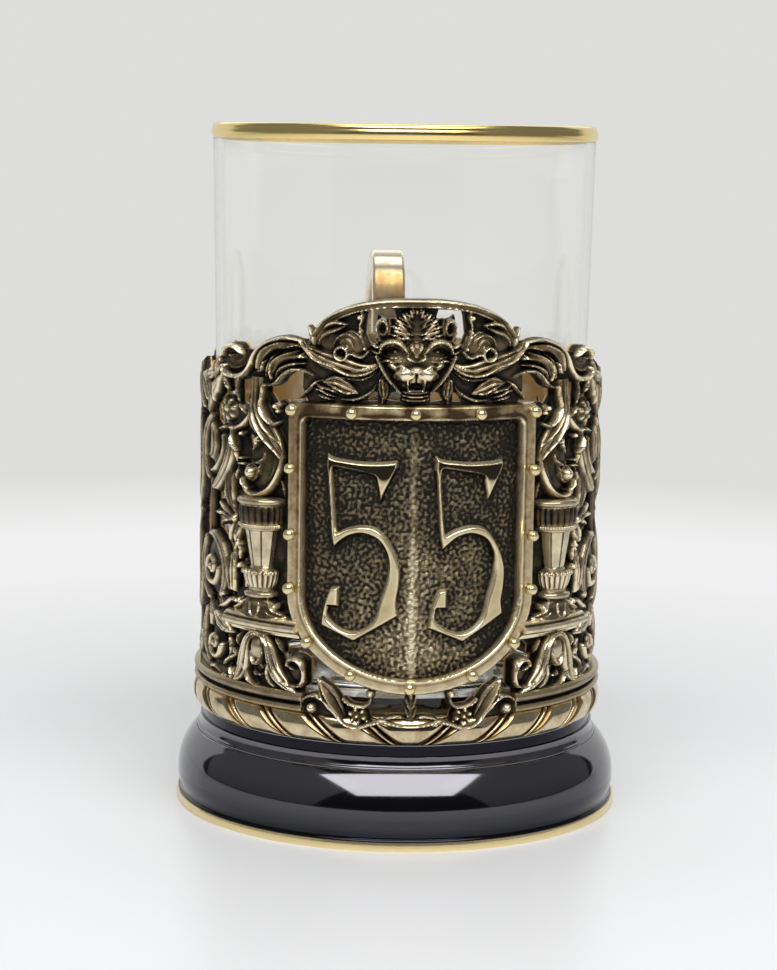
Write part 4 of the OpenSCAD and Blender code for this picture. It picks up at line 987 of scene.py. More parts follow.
def build_shield():
    """Flat riveted strap with a thin raised lip round the stippled field."""
    r = Relief(-25, 25, SHIELD_FOOT - 0.6, SHIELD_TOP + 0.6, 0.2)
    outer = r.polygon(shield_outline(0))
    inner = r.polygon(shield_outline(STRAP_W, 0.9))
    r.inside = across = np.minimum(outer, -inner)
    flat = 1.9 * np.clip(across / 0.35, 0, 1) ** 0.45
    lip = 0.34 * np.sqrt(np.clip(1 - ((-inner - 0.26) / 0.26) ** 2, 0, 1))
    wear = 0.03 * blur(RNG.normal(size=r.S.shape), 2)
    r.height = np.where(across > 0, flat + lip + wear, 0)
    r.smooth_height(2)
    # Painted reflection: the upper strap is darker, more so on the left, and the top bar darker and blotchy; a
    # painted highlight runs along the inner lip with painted shade just outside it; a faint random mottle lies over
    # all.
    high = np.clip((r.Z - 44) / 26, 0, 1)
    mottle = blur(RNG.normal(size=r.S.shape), 1) * np.clip(r.Z / 60, 0, 1)
    r.tone = 0.2 - 0.26 * high * (0.75 - 0.25 * np.sign(r.S)) + 0.1 * mottle
    r.tone += 0.25 * np.exp(-(((-inner - 0.3) / 0.3) ** 2)) - 0.3 * np.exp(-(((-inner - 0.95) / 0.25) ** 2))
    bar = np.clip((r.Z - SHIELD_TOP + STRAP_W + 0.3) / 0.5, 0, 1)
    r.tone += bar * (4 * blur(mottle, 5, 2) - 0.16)
    obj = r.mesh("shield_strap", web=WALL_IN + 1.2, back=WALL_IN + 0.3, wear_and_shade=1.2, level=(-0.2, 2.2))
    return dress(obj, STRAP, ["shield_frame"])


def build_field():
    """Dark stippled field with a vertical ridge; the stipples are lighter in the lower middle and along the ridge,
    with painted shade along the strap and round the numerals.
    """
    r = Relief(-22, 22, SHIELD_FOOT + 1.6, SHIELD_TOP - 1.6, 0.19)
    r.inside = r.polygon(shield_outline(STRAP_W - 0.12, 0.9))
    fine = blur(RNG.normal(size=r.S.shape), 1)
    worms = fine - blur(blur(fine, 2), 1)
    worms /= worms.std()
    ridge = 0.3 * np.exp(-((r.S / 0.75) ** 2))
    calm = 1 - 0.35 * np.exp(-((r.S / 0.6) ** 2))
    r.height = 0.36 * np.clip(0.5 + 0.5 * worms, 0, 1) * calm + ridge
    r.smooth_height(1)
    low = np.clip((68 - r.Z) / 30, 0, 1)
    cloud = blur(RNG.normal(size=r.S.shape), 9, 2) * 9
    edge = np.clip((r.inside - 0.3) / 2.2, 0, 1)
    # Lighter in the lower middle and along the ridge; darker within about 2.5 mm of the strap, a painted shade under
    # its lip.
    r.tone = 0.32 * np.exp(-((r.S / 10.0) ** 2)) * low + 0.14 * np.exp(-((r.S / 0.8) ** 2)) * (0.5 + low)
    r.tone += 0.1 * cloud - 0.02 - 0.26 * (1 - edge)
    for shift in NUMERAL_SHIFTS:
        # Painted shadow round each numeral.
        near = r.polygon(numeral_outline(shift))
        r.tone -= 0.2 * np.exp(-((np.minimum(near, 0) / 1.2) ** 2))
    obj = r.mesh("shield_ground", web=WALL_IN + 1.3, back=WALL_IN + 0.35, wear_and_shade=0.3, level=(-0.1, 1.2))
    return dress(obj, FIELD, ["shield_field"])


# Places of the rivets: along the wall, height
RIVETS = [(-21.7, 76.1), (-10.8, 76.1), (0, 76.1), (11.3, 76.1), (22, 76.1), (-22, 65.9), (22.1, 65.9),
          (-22, 54.3), (22.1, 54.3), (-22, 44.8), (22, 44.8), (-18.4, 35.6), (18.5, 35.6), (-10.5, 30.4),
          (10.6, 30.4), (-0.3, 28.4)]


def build_rivets():
    """Domed rivet heads, set by Geometry Nodes on marked points of the strap."""
    angles = np.array([s for s, _ in RIVETS]) / WALL_UNROLL_R
    out = np.stack([np.sin(angles), -np.cos(angles), 0 * angles], 1)
    places = out * (STRAP_R - 0.12) + [(0, 0, z) for _, z in RIVETS]
    head = lathe("rivet_form", rivet_profile(), 40, sharp=60)
    places = mark_points("rivet_places", places, out)
    return scatter("rivets", places, head, RIVET, ["shield_rivets"], (0.94, 1.05), 0.8)


def rivet_profile():
    """Section of a rivet head: a low flange and a dome, in millimetres, standing on z = 0."""
    dome = [(1.02 * math.cos(a), 0.02 + 0.92 * math.sin(a)) for a in np.radians(np.linspace(8, 86, 12))]
    return [(0.0, -0.35), (1.02, -0.35), (1.04, 0.0)] + dome + [(0.0, 0.95)]


def mark_points(name, places, facings):
    """Loose points in millimetres, each with the way it faces."""
    obj = add_mesh(name, places, [])
    facing = obj.data.attributes.new("facing", "FLOAT_VECTOR", "POINT")
    facing.data.foreach_set("vector", np.array(facings, np.float32).ravel())
    return obj


def scatter(name, places, form, mat, stands_for=(), size=(1, 1), relief=0.7):
    """Instances a form on the marked points, turned to their facing, and converts it to one mesh."""
    tree = bpy.data.node_groups.new(name, "GeometryNodeTree")
    keys = {}
    for label, kind in (("Geometry", "Geometry"), ("Form", "Object"), ("Smallest", "Float"), ("Largest", "Float"),
                        ("Seed", "Int"), ("Finish", "Material")):
        sock = tree.interface.new_socket(name=label, in_out="INPUT", socket_type="NodeSocket" + kind)
        keys[label] = sock.identifier
    tree.interface.new_socket(name="Geometry", in_out="OUTPUT", socket_type="NodeSocketGeometry")
    add = NodeMaker(tree)
    into = add("NodeGroupInput").node.outputs
    facing = add("GeometryNodeInputNamedAttribute", "Attribute", data_type="FLOAT_VECTOR", Name="facing")
    spread = add("FunctionNodeRandomValue", 1, None, None, into["Smallest"], into["Largest"], Seed=into["Seed"])
    points_out = add("GeometryNodeInstanceOnPoints", "Instances", Points=into["Geometry"], Scale=spread,
                     Instance=add("GeometryNodeObjectInfo", "Geometry", Object=into["Form"]),
                     Rotation=add("FunctionNodeAlignRotationToVector", "Rotation", axis="Z", Vector=facing))
    real = add("GeometryNodeRealizeInstances", "Geometry", points_out)
    add("NodeGroupOutput", 0, add("GeometryNodeSetMaterial", "Geometry", Geometry=real, Material=into["Finish"]))
    mod = places.modifiers.new(name, "NODES")
    mod.node_group = tree
    for label, value in (("Form", form), ("Smallest", float(size[0])), ("Largest", float(size[1])),
                         ("Seed", SCATTER_SEED), ("Finish", mat)):
        mod[keys[label]] = value
    bpy.context.view_layer.update()
    graph = bpy.context.evaluated_depsgraph_get()
    mesh = bpy.data.meshes.new_from_object(places.evaluated_get(graph), depsgraph=graph)
    places.modifiers.clear()
    bpy.data.objects.remove(places)
    bpy.data.objects.remove(form)
    if "facing" in mesh.attributes:
        mesh.attributes.remove(mesh.attributes["facing"])
    shade_smooth(mesh, 60)
    store(mesh, np.full(len(mesh.vertices), relief))
    return dress(put(name, mesh), mat, stands_for)


# Runs of the left numeral's outline
FIVE = """
    curve: -15.57 69, -14.2 68.3, -12 68, -9.2 67.75, -5.6 67.8, -2.85 68.1
    line: -2.7 66.8, -5.86 60.5
    curve: -6.7 64.7, -7.2 65.15, -9.2 65.6, -13.6 66.3, -14.15 66, -14.3 64.6
    curve: -14.3 64.6, -14 60.2, -13.5 55.3
    curve: -13.45 55.25, -11.8 56.1, -9.3 56.7, -6.9 56.5, -5.1 55.3, -3.6 53.2, -2.6 51, -2.1 48.8, -2.2 \
        46, -2.6 43.2, -2.3 40.9
    line: -2.25 40.85, -10.2 36, -16.4 38.6
    curve: -16.45 38.7, -16.1 41.4, -15.4 44, -14.6 45.5, -13 45.75
    line: -12.95 45.7, -13 42.05, -14.85 42.05
    curve: -14.85 42, -14.9 40.2, -12.9 38.6, -10.5 38, -8.4 38.7, -6.6 40.6, -5.7 43.8, -4.6 47.4, -4.4 \
        50.2, -5.1 52.5, -6.5 54.2, -8.9 55, -11.2 54.5, -12.9 53.3, -14.1 52.2
    curve: -14.15 52.25, -14.7 55, -15 59.5, -15.4 64.8, -15.7 66.4
"""


def numeral_outline(shift):
    """Outline of a numeral, shifted along the wall."""
    outline = []
    for row in FIVE.strip().splitlines():
        kind, run = row.split(":")
        run = points(run)
        outline += [tuple(q) for q in flowing(run, 0.25)] if kind.strip() == "curve" else run
    return [(s + shift, z) for s, z in outline]


def build_numerals():
    """Two raised numerals with flat polished faces and sloping sides; a painted highlight lies on their upward sides
    and round their faces, painted shade on their downward sides, and their top bars are painted dark as a painted
    reflection of a dark room.
    """
    for number, shift in enumerate(NUMERAL_SHIFTS):
        r = Relief(-17.2 + shift, -1.2 + shift, 35.2, 69.6, 0.13)
        r.inside = d = r.polygon(numeral_outline(shift))
        r.height = np.where(d > 0, 1.15 * np.clip(d / 0.5, 0, 1) ** 0.75, 0)
        up = np.gradient(r.height, r.pitch, axis=1)
        # Painted highlight on the upward sides and round the face edge, painted shade on the downward sides; the top
        # bars' faces are darkened as a painted reflection of a dark room.
        r.tone = 0.5 * np.clip(-up, -1, 1) + 0.2 * np.exp(-(((d - 0.5) / 0.2) ** 2))
        r.tone -= 0.62 * np.clip((r.Z - 64.0) / 1.2, 0, 1) * np.clip((d - 0.4) / 0.3, 0, 1)
        r.smooth_height(2)
        obj = r.mesh("numeral_%d" % (number + 1), web=WALL_IN + 1.45, back=WALL_IN + 0.9, wear_and_shade=1.6, level=(-0.6, 1.0))
        dress(obj, NUMERAL)


def turn_about_axis(x, y, angle):
    """A point turned about the holder's axis."""
    c, k = math.cos(angle), math.sin(angle)
    return x * c - y * k, x * k + y * c


def urn_profile(z0):
    """Half section of the urn from its foot up: (radius, height)."""
    half = [(0.0, 0.0), (4.4, 0.0)]
    half += arc((2.3, 3.3), (4.4, 0.2), -0.6, 18)[::-1]
    half += arc((3.0, 3.4), (3.0, 4.4), 0.45, 10)
    half += [(2.5, 4.6), (2.55, 4.9)]
    half += arc((2.6, 5.0), (3.6, 7.9), 0.25, 12)
    half += [(3.3, 8.2), (2.3, 8.45), (2.25, 8.9), (3.45, 15.2), (3.6, 15.4)]
    half += arc((4.1, 15.5), (4.1, 16.1), 0.22, 6)
    half += [(4.1, 16.3), (4.4, 16.9), (4.6, 18.4), (4.5, 19.4), (4.3, 19.8)]
    half += arc((4.5, 20.0), (4.5, 21.0), 0.4, 8)
    half += [(4.2, 21.15), (0.0, 21.15)]
    return [(a, z0 + b) for a, b in half]


def build_urn(mirror, side):
    """Turned urn with flutes, facets and petals, let into the wall behind it."""
    z0 = SHELF_TOP
    profile = urn_profile(z0)
    steps = []
    for (r0, h0), (r1, h1) in zip(profile[:-1], profile[1:]):
        n = max(1, int(math.hypot(r1 - r0, h1 - h0) / 0.22))
        steps += [(r0 + (r1 - r0) * i / n, h0 + (h1 - h0) * i / n) for i in range(n)]
    steps.append(profile[-1])
    around = 200
    cup, knop, shaft = (16.4, 19.8), (5.2, 8.2), (8.8, 15.3)
    facet = math.pi / 8
    verts, faces, wear_and_shade = [], [], []
    centre = mirror * URN_AXIS / WALL_UNROLL_R
    for i in range(around):
        a = 2 * math.pi * i / around
        for rad, z in steps:
            h = z - z0
            # The tone is patina with painted shade: dark in the flute and facet hollows and round the foot, and light
            # on the flute ridges, knop lobes and the cup's lower edge as painted highlight.
            scale, tone = 1.0, 0.62
            if cup[0] < h < cup[1]:
                wave = abs(math.sin(10 * a))
                fade = min((h - cup[0]) / 0.5, (cup[1] - h) / 0.5, 1)
                scale, tone = 1 - 0.08 * fade * (1 - wave), 0.08 + 0.2 * wave + 0.4 * max(0, 1 - (h - cup[0]) / 0.8)
            elif knop[0] < h < knop[1]:
                wave = abs(math.sin(9 * a))
                fade = min((h - knop[0]) / 0.4, (knop[1] - h) / 0.3, 1)
                scale, tone = 1 - 0.1 * fade * (1 - wave), 0.3 + 0.55 * wave
            elif shaft[0] < h < shaft[1]:
                turn = ((a + 0.2) % (2 * facet)) - facet
                near = abs(turn) / facet
                scale, tone = 0.97 * math.cos(facet) / math.cos(turn), 0.72
                if near > 0.86:
                    scale, tone = scale * (1 - 0.05 * (near - 0.86) / 0.14), 0.3
            elif h < 3.3:
                tone = 0.3
            r = rad * scale
            deep = 0.5 if h < 2.0 else min(0.5 + (h - 2.0) * 0.22, URN_FLAT)
            x, y = r * math.sin(a), -r * deep * math.cos(a) - URN_AXIS_R
            gap = math.hypot(x, y)
            if gap < WALL_IN + 0.03:
                x, y = x * (WALL_IN + 0.03) / gap, y * (WALL_IN + 0.03) / gap
            verts.append((*turn_about_axis(x, y, centre), z))
            wear_and_shade.append(tone)
    m = len(steps)
    for i in range(around):
        p, q = i * m, ((i + 1) % around) * m
        faces += [(p + k, q + k, q + k + 1, p + k + 1) for k in range(m - 1)]
    obj = add_mesh("urn_body_" + side, verts, faces)
    store(obj.data, wear_and_shade)
    tidy_shell(obj, 50)
    return dress(obj, BRASS, ["urn_" + side])


def build_urn_leaves(mirror, side):
    """Dark ground behind an urn, with the leaves that flare out from its foot."""
    r = Relief(22.6, 37.2, 38.6, 61.0, 0.17)
    draw(r, """
        plate 0: 23.2 38.9, 36.8 38.9, 36.8 60.4, 23.2 60.4
        hole: 33.2 43.4, 36 43, 35.6 50.4, 34.4 52.4, 33.6 48
        hole: 34.6 54.2, 36.4 54.8, 36.2 58.6, 34.8 58.8
        cup: 31 42.4, 31.6 41.2, 32.8 40.2, 34.4 39.6, 35.9 39.3 | .5 .9 .95 .7 .2 | 2.4 2.9 3.1 3 2.2
        cup: 27.4 42.4, 26.8 41.2, 25.8 40.2, 24.6 39.6, 23.4 39.3 | .5 .9 .95 .7 .2 | 2.4 2.9 3.1 3 2.2
        cup: 29.2 42.4, 29.2 41, 29.1 39.8, 29.1 38.9 | 1.2 1.5 1.3 .3 | 2.8 3.4 3.6 3.2
        lines 3.7 .28: 30.6 40.6, 29.9 39.6, 29.1 39, 28.2 39.6, 27.7 40.4
        lines 3.1 .3: 31.8 42, 32.6 40.9, 34 40.2, 35.6 39.9; 26.6 42, 25.8 40.9, 24.8 40.2, 23.6 39.9
        dome 24.9 41.2 .6 .75 2.9 turn=20
        dome 33.4 41.3 .6 .75 2.7 turn=-20
        dome 34.3 51.3 .7 .65 2.4 solid=1
        dome 33.9 47.4 .7 .65 2.4 solid=1
        round: 34.6 54, 34.9 52.4, 34.4 50.4, 34.6 48.6 | .3 .5 .42 .3 | 1.6 1.9 1.7 1.5
    """)
    r.smooth_height(1)
    return dress(r.mesh("urn_leaves_" + side, mirror), BRASS)


def build_urn_beads():
    """Rows of small beads round both urns."""
    places, facing = [], []
    for mirror in (-1, 1):
        centre = mirror * URN_AXIS / WALL_UNROLL_R
        for height, radius, count in ((55.3, 4.35, 24), (46.9, 3.65, 14)):
            for a in np.radians(np.linspace(-84, 84, count)):
                x, y = radius * math.sin(a), -URN_FLAT * radius * math.cos(a) - URN_AXIS_R
                if math.hypot(x, y) >= WALL_IN + 0.6:      # the others are let into the wall
                    places.append((*turn_about_axis(x, y, centre), height))
                    facing.append((*turn_about_axis(math.sin(a), -math.cos(a), centre), 0.0))
    ball = [(0.34 * math.sin(a), -0.34 * math.cos(a)) for a in np.radians(np.linspace(0, 180, 13))]
    bead = lathe("bead_form", ball, 20, sharp=80)
    return scatter("urn_beads", mark_points("bead_places", places, facing), bead, BRASS, (), (0.92, 1.06), 0.72)


def build_plinth(mirror, side):
    """Moulded shelf under an urn."""
    first, last = math.degrees(20.4 / WALL_UNROLL_R), math.degrees(36.9 / WALL_UNROLL_R)
    ring = [(WALL_IN + 0.02, 35.9), (37.3, 35.9), (37.4, 36.3), (37.9, 36.45), (38.0, 36.9), (38.9, 37.05)]
    ring += arc((39.1, 37.1), (39.15, 38.2), 0.35, 8)
    ring += [(38.7, 38.35), (38.6, 38.8), (38.2, SHELF_TOP), (WALL_IN + 0.02, SHELF_TOP)]
    if mirror < 0:
        first, last = 360 - last, 360 - first
    return turned("shelf_" + side, ring, BRASS, ["plinth_" + side], 3, 0.12, 0.6, first=first, last=last, segments=60)


def build_console(mirror, side):
    """Bracket under the shelf: hanging drop between leaves, with a curled foot beside the shield."""
    r = Relief(18.8, 37.2, 25.6, 37.4, 0.16)
    draw(r, """
        plate 0: 36.9 36.2, 21.4 36.2, 24.6 34, 25.6 31.6, 23.6 29.6, 20.2 27.6, 20.2 26, 36.9 26, 36.9 28.4, \
            35.2 29.4, 34.2 31, 34.4 33.4, 35.6 35.2, 36.9 35.8
        lines 1.7 .42: 21.8 36.5, 26 36.2, 31 36.1, 36.8 36.4
        # arched leaf over the drop, with flared feet
        leafy: 35.6 26.6, 34.4 27.4, 33.2 29, 32.7 31.4, 32 33.8, 30.9 35.3, 29.3 36 | \
            .4 1.1 1.5 1.35 1.1 .85 .6 | 1.9 2.3 2.4 2.4 2.4 2.5 2.6
        leafy: 29.3 36, 27.7 35.4, 26.5 33.8, 25.8 31.4, 24.9 29.4, 23 27.6, 21 26.2 | \
            .6 .9 1.15 1.4 1.5 1.1 .25 | 2.6 2.7 2.6 2.5 2.5 2.3 1.8
        round: 32.7 30.4, 32.1 28.4, 31.4 27, 30.2 26.3 | .4 .5 .42 .2 | 2.2 2.4 2.3 1.8
        round: 26.4 31, 26.9 29.4, 26.6 27.8, 25.6 26.6 | .4 .5 .45 .2 | 2.2 2.3 2.2 1.8
        round: 25.3 28.9, 23.9 28.2, 22.4 27.6, 21.2 27.5 | .3 .5 .5 .2 | 2.2 2.7 2.6 2
        lines 1.9 .3: 36.8 32, 35.2 31.2, 33.6 31.4; 36.9 28.4, 35.8 27.4, 34.4 27.2; 30.6 29.4, 29.6 28.3, \
            28.4 28.6; 25.8 35.6, 24.6 34.6, 24 33; 33.6 35.6, 34.6 34.4, 35.2 32.8
        dome 29.3 33.2 1.7 2.5 2.5 .35
        round: 30.7 32.6, 30.1 31.2, 29.3 30.3, 28.5 31.2, 27.9 32.6 | .15 .34 .4 .34 .15 | 2.6 2.8 2.9 2.8 2.6
        # curl that leans on the shield
        dome 21.2 29.8 2.2 2.2 .9 solid=1
        round: 23 30.6, 22.4 31.7, 21.2 32.3, 19.9 31.9, 19.1 30.6, 19.1 29, 20 27.7, 21.3 27.2 | \
            .2 .5 .85 .95 .9 .85 .6 .2 | 1.8 2.5 2.9 2.9 2.8 2.7 2.3 1.8
        round: 22.8 30.9, 21.9 30.6, 21 30.2 | .2 .4 .2 | 1.7 2.1 1.8
        hole: 28.4 29.8, 30 28.9, 31.6 29.8, 30.9 30.4, 29.2 30.4
    """)
    r.inside = np.minimum(r.inside, -r.polygon(shield_outline(0.25)))
    r.smooth_height(1)
    return dress(r.mesh("console_leaves_" + side, mirror), BRASS, ["console_" + side])


def build_garland():
    """Leaf garland between the rope and the rounded tip of the shield."""
    r = Relief(-21, 21, 19.9, 37.6, 0.15)
    draw(r, """
        plate .5: -.2 22.8, -.2 20.9, 6 20.6, 9 20.2, 12 20.9, 15 20.9, 20.6 20.9, 20.6 25.4, 18.6 26.4, \
            16.2 26.2, 14.6 25.2, 12.2 24.2, 11 24.9, 8.2 24.9, 7.2 23, 5 22.6
        round: 0 21, 0 24, 0 28.2 | .9 1.15 .8 | 1.1 1.3 1.1
        lines 2.1 .26: .1 22.6, .7 23.8, 1 25; .1 24.4, .6 25.4, .8 26.6
        dome 0 26.8 .42 .7 2.2
        # wavy lip that runs up into the scroll at the moulding's end
        round: -.3 21.6, 1.6 21.65, 3.4 22, 5 22.3, 6.8 21.9, 9 21.2, 10.8 21.3, 12.4 22.3, 13.8 23.9, 15.2 25.3, \
            16.8 26.1, 18.4 25.9, 19.6 24.9, 19.9 23.6 | .5 .55 .55 .55 .62 .7 .62 .5 .46 .46 .5 .46 .36 .2 | \
            2.5 2.6 2.6 2.6 2.7 2.8 2.7 2.5 2.3 2.3 2.4 2.3 2.1 1.8
        lines 2 .28: .2 22.7, 2 23.1, 4 22.9, 5.8 22.2
        dome 17.8 23.9 1.15 1.1 2.3 solid=1
        # flower with its hooked stem
        dome 9.3 23.2 2 1.9 1.5 solid=1
        petals 6 .3 9.3 23.2 1.2 1.15 .66 .46 2.3
        dome 9.3 23.2 .55 .55 2.6
        round: 10.8 25, 9.2 24.7, 8 24.8, 7.1 25.6, 6.9 26.8 | .25 .4 .4 .36 .3 | 1.9 2.2 2.2 2.1 1.9
        dome 7.1 27.1 .8 .75 2.4 solid=1
        round: 10.8 25, 12 25.9 | .35 .3 | 1.9 1.9
        # pointed bud leaf
        round: 11.8 22, 13.3 24.4, 14.9 26.8, 16.5 29.2 | .7 1.5 1.35 .15 | 1.4 1.6 1.6 1.2
        round: 11.9 22, 13.5 24.1, 15.1 26.5, 16.6 29.1 | .3 .42 .42 .12 | 2.2 2.6 2.6 1.9
        lines 2.35 .3: 11.4 22.4, 12.1 24.7, 13.7 27.2, 16.5 29.2; 12.7 22.4, 14.5 24.2, 16 26.6, 16.7 29
    """)
    r.mirror_halves()
    r.inside = np.minimum(r.inside, -r.polygon(shield_outline(0.3)))
    r.smooth_height(1)
    return dress(r.mesh("tip_garland"), BRASS, ["garland"])


def leafy_volute(r, s, z, radius, start, turns, hand, width=1.1, height=1.9, leaves=6, reach=3.4):
    """A scroll with ribbed lobes that spring from its outer side."""
    r.volute(s, z, radius, width, height, start, turns, hand)
    for i in range(leaves):
        t = 0.04 + 0.46 * i / max(leaves - 1, 1)
        rr = radius * (1 - 0.8 * t ** 0.85)
        a = math.radians(start) + hand * t * turns * 2 * math.pi
        grow = reach * (1 - 0.45 * abs(i / max(leaves - 1, 1) - 0.45))
        b, c = a - hand * 0.16, a - hand * 0.42
        way = [(s + rr * math.cos(a), z + rr * math.sin(a)),
               (s + (rr + grow * 0.6) * math.cos(b), z + (rr + grow * 0.6) * math.sin(b)),
               (s + (rr + grow) * math.cos(c), z + (rr + grow) * math.sin(c))]
        r.stroke(way, [width * 0.6, width * 1.2, width, 0.15], [height * 0.8, height * 0.85, height * 0.6], "leafy")


def side_leaves(r, m, hand):
    """Half of a side casting: rosette, curled leaves and volutes, drawn from u = 36 and turned about m."""
    def at(u):
        return u if hand < 0 else 2 * m - u

    def leaf(way, widths, heights, form):
        if max(widths) > 0.85:
            form, widths = "leafy", [w * 1.22 for w in widths]
        r.stroke([(at(u), z) for u, z in way], widths, heights, form)

    def dome(u, z, rs, rz, height, turn=0.0, **more):
        r.bump(at(u), z, rs, rz, height, turn=-hand * turn, **more)

    def volute(u, z, radius, width, height, turns):
        r.volute(at(u), z, radius, width, height, 180 if hand < 0 else 0, turns, -hand, "round", 0.25)

    draw(r, """
        # palmette on the top edge
        round: 45.8 75.8, 44.9 77.6, 42.6 80.2 | .3 1.15 .4 | 2.2 2.7 2.3
        round: 44.6 80.2, 43.8 82, 43.3 83.7 | .6 .9 .2 | 2 2.4 1.8
        round: 49.4 79.6, 47.2 80.4, 45 80.6 | .5 1 .3 | 1.9 2.4 1.9
        round: 42.4 80, 41.6 81.2, 42.2 82.6 | .4 .6 .2 | 2 2.2 1.8
        round: 41.6 80.6, 40.8 79.8, 40.2 78.4 | .3 .5 .3 | 2 2.2 1.9
        rim: 48.4 73.8, 47.6 76, 48.4 78.2, 50.4 79.6, 53 79.8 | .6 .9 1 .9 .5 | 1.8 2.2 2.3 2.3 1.9
        round: 53.6 74, 55 76.6, 56 79.4, 56.2 81.4 | .5 1.1 1.1 .2 | 1.7 2.2 2.2 1.6
        round: 50.6 75.6, 52.2 77.6, 53.6 79.6 | .4 .9 .3 | 1.7 2 1.6
        # rosette
        dome 39.5 74.7 3 2.3 1.6 solid=1
        petals 7 .2 39.5 74.7 1.75 1.35 .95 .62 2.1
        dome 39.2 74.9 1.05 .95 2.8
        round: 36.3 71.9, 38.6 71.5, 41.2 71.3, 43.2 70.8 | .3 .42 .42 .3 | 2 2.3 2.2 2
        round: 36.4 76.6, 37 78.6, 36.8 80.4 | .4 .5 .3 | 1.2 1.4 1.2
        # big curled leaf
        dome 44.6 67.4 5.2 3.9 1.5
        round: 46.2 71, 44.8 69.6, 44.6 67.8, 45.6 66.2, 47.6 65.6 | .6 1.2 1.3 1.1 .4 | 2 2.6 2.7 2.4 1.8
        rim_right: 38.3 70.9, 38.4 68.2, 39 66, 40.1 64, 41.8 62.2, 43.8 60.7, 46.2 60 | \
            .6 1.1 1.2 1.15 1.05 .9 .4 | 1.7 2.1 2.5 2.7 2.6 2.4 1.8
        round: 41.6 69.8, 41.2 67.6, 42.2 65.6, 44.4 63.8, 47.2 62.8 | .4 .6 .7 .7 .4 | 1.9 2.1 2.1 2 1.7
        round: 37.5 69.9, 37 68.6, 36.5 67.2, 36.4 65.6 | .3 .42 .42 .2 | 2.4 2.6 2.6 2
        rim: 47.4 72.8, 49.6 70.4, 50.8 67.4, 50.6 64.4, 49 61.6 | .5 .9 1.1 1 .5 | 1.8 2.2 2.4 2.2 1.8
        # leaf bundle over the waist
        cup: 38.9 64, 39 61, 38.1 58.2, 36.7 55.8 | .6 1.35 .95 .25 | 1.5 1.7 1.7 1.4
        round: 37.8 63.2, 37.5 60.4, 37.2 57.8, 36.6 56 | .2 .36 .3 .15 | 2.1 2.3 2.2 1.8
        round: 40.2 62.2, 40.1 59.8, 38.9 57.4 | .2 .36 .2 | 2 2.3 2
        round: 36.5 55.2, 39.5 54.8, 42.6 53.9 | .25 .66 .15 | 1.9 2.3 1.7
        round: 36.6 55.5, 40.2 56.7, 43.4 57.6 | .25 .7 .15 | 1.9 2.3 1.7
        round: 37.6 55.4, 41.4 55.7, 45.2 55.6 | .25 .6 .15 | 2 2.4 1.8
        round: 36.9 54.9, 38.1 53.2, 38.8 51.2 | .25 .6 .2 | 1.9 2.2 1.8
        round: 36.5 54.4, 36.7 52.4, 36.5 50.4 | .2 .5 .3 | 1.8 2.2 2
        dome 36.9 55.4 .8 .8 2.6 solid=1
        flat: 47.2 60.4, 47.2 56, 47.2 51.6 | .9 .8 .9 | 1.2 1.2 1.2
        # great volute and its leaves
        dome 45.6 45.6 5 4.6 1 solid=1
        volute 45.8 45.4 3.5 .95 2.7 1.25
        rim: 47.8 51.4, 44.6 51.2, 41.8 49.4, 40.3 46.4, 40.6 43.2, 42.2 40.8 | .4 .9 1 1 .9 .5 | \
            1.7 2.1 2.3 2.3 2.2 1.8
        round: 36.8 50.2, 36.6 46.6, 36.7 42.4 | .3 .6 .4 | 2.1 2.7 2.4
        round: 38 49, 38 46, 38.1 42.4 | .2 .42 .3 | 2 2.3 2.2
        round: 39.3 48.2, 39.1 45, 39.3 42.2 | .2 .4 .2 | 1.8 2.1 1.9
        dome 41 41.3 .75 .7 2.5 solid=1
        cup: 50.4 50.2, 51.6 46.4, 50.8 42.2, 48.2 39.6 | .5 1.1 1.1 .5 | 1.8 2.2 2.2 1.8
        # leaves at the foot
        round: 36.3 40.4, 37.8 40.7, 39.8 39.5, 42.6 38.6 | .35 .62 .8 .3 | 2.1 2.4 2.4 1.9
        round: 36.3 38.4, 38.6 38.6, 41.2 37.3 | .3 .55 .3 | 1.9 2.2 1.8
        round: 44.2 37.2, 42 36.2, 39.4 35.1, 37.6 34.6 | .4 1.15 1.05 .25 | 2.2 2.8 2.8 2
        round: 46.8 38.4, 46 36.4, 46.6 34.6 | .4 .8 .4 | 1.8 2.2 1.8
        dome 44.4 31.3 3.2 3.2 .9 solid=1
        volute 44.4 31.5 2.9 .75 2.6 1.2
        round: 36.3 30.9, 37.8 30.1, 39.4 29.3, 40.6 28.2 | .3 .42 .5 .3 | 1.9 2.2 2.2 1.9
        round: 39 33.4, 38.2 31.8, 38.6 29.8 | .3 .5 .3 | 1.6 1.8 1.5
        cup: 48 28, 50 30.6, 50.6 34, 49.6 37.2 | .5 .9 .9 .4 | 1.8 2.1 2.1 1.7
        round: 38.8 28, 37.9 26.6, 38.3 25.2 | .25 .42 .2 | 2.1 2.4 2
        dome 40.4 25.7 1.25 1.2 2.7 solid=1
        round: 41.8 26.4, 44.4 27.2, 47.4 26.6 | .3 .6 .3 | 1.7 2 1.7
        # stem of the middle
        cup: 58.6 56.5, 54.6 60, 54 64, 55.2 68.4, 58.6 72 | .8 1.1 1.2 1 .6 | 1.8 2.1 2.2 2.1 1.8
        cup: 58.6 36.5, 55 39.4, 54.2 43.4, 55.4 48, 58.6 52 | .8 1.1 1.2 1 .6 | 1.8 2.1 2.2 2.1 1.8
        round: 58.6 27.6, 55.2 29.4, 54.2 32.4 | .8 1 .3 | 1.7 2 1.7
    """, stroke=leaf, dome=dome, volute=volute)


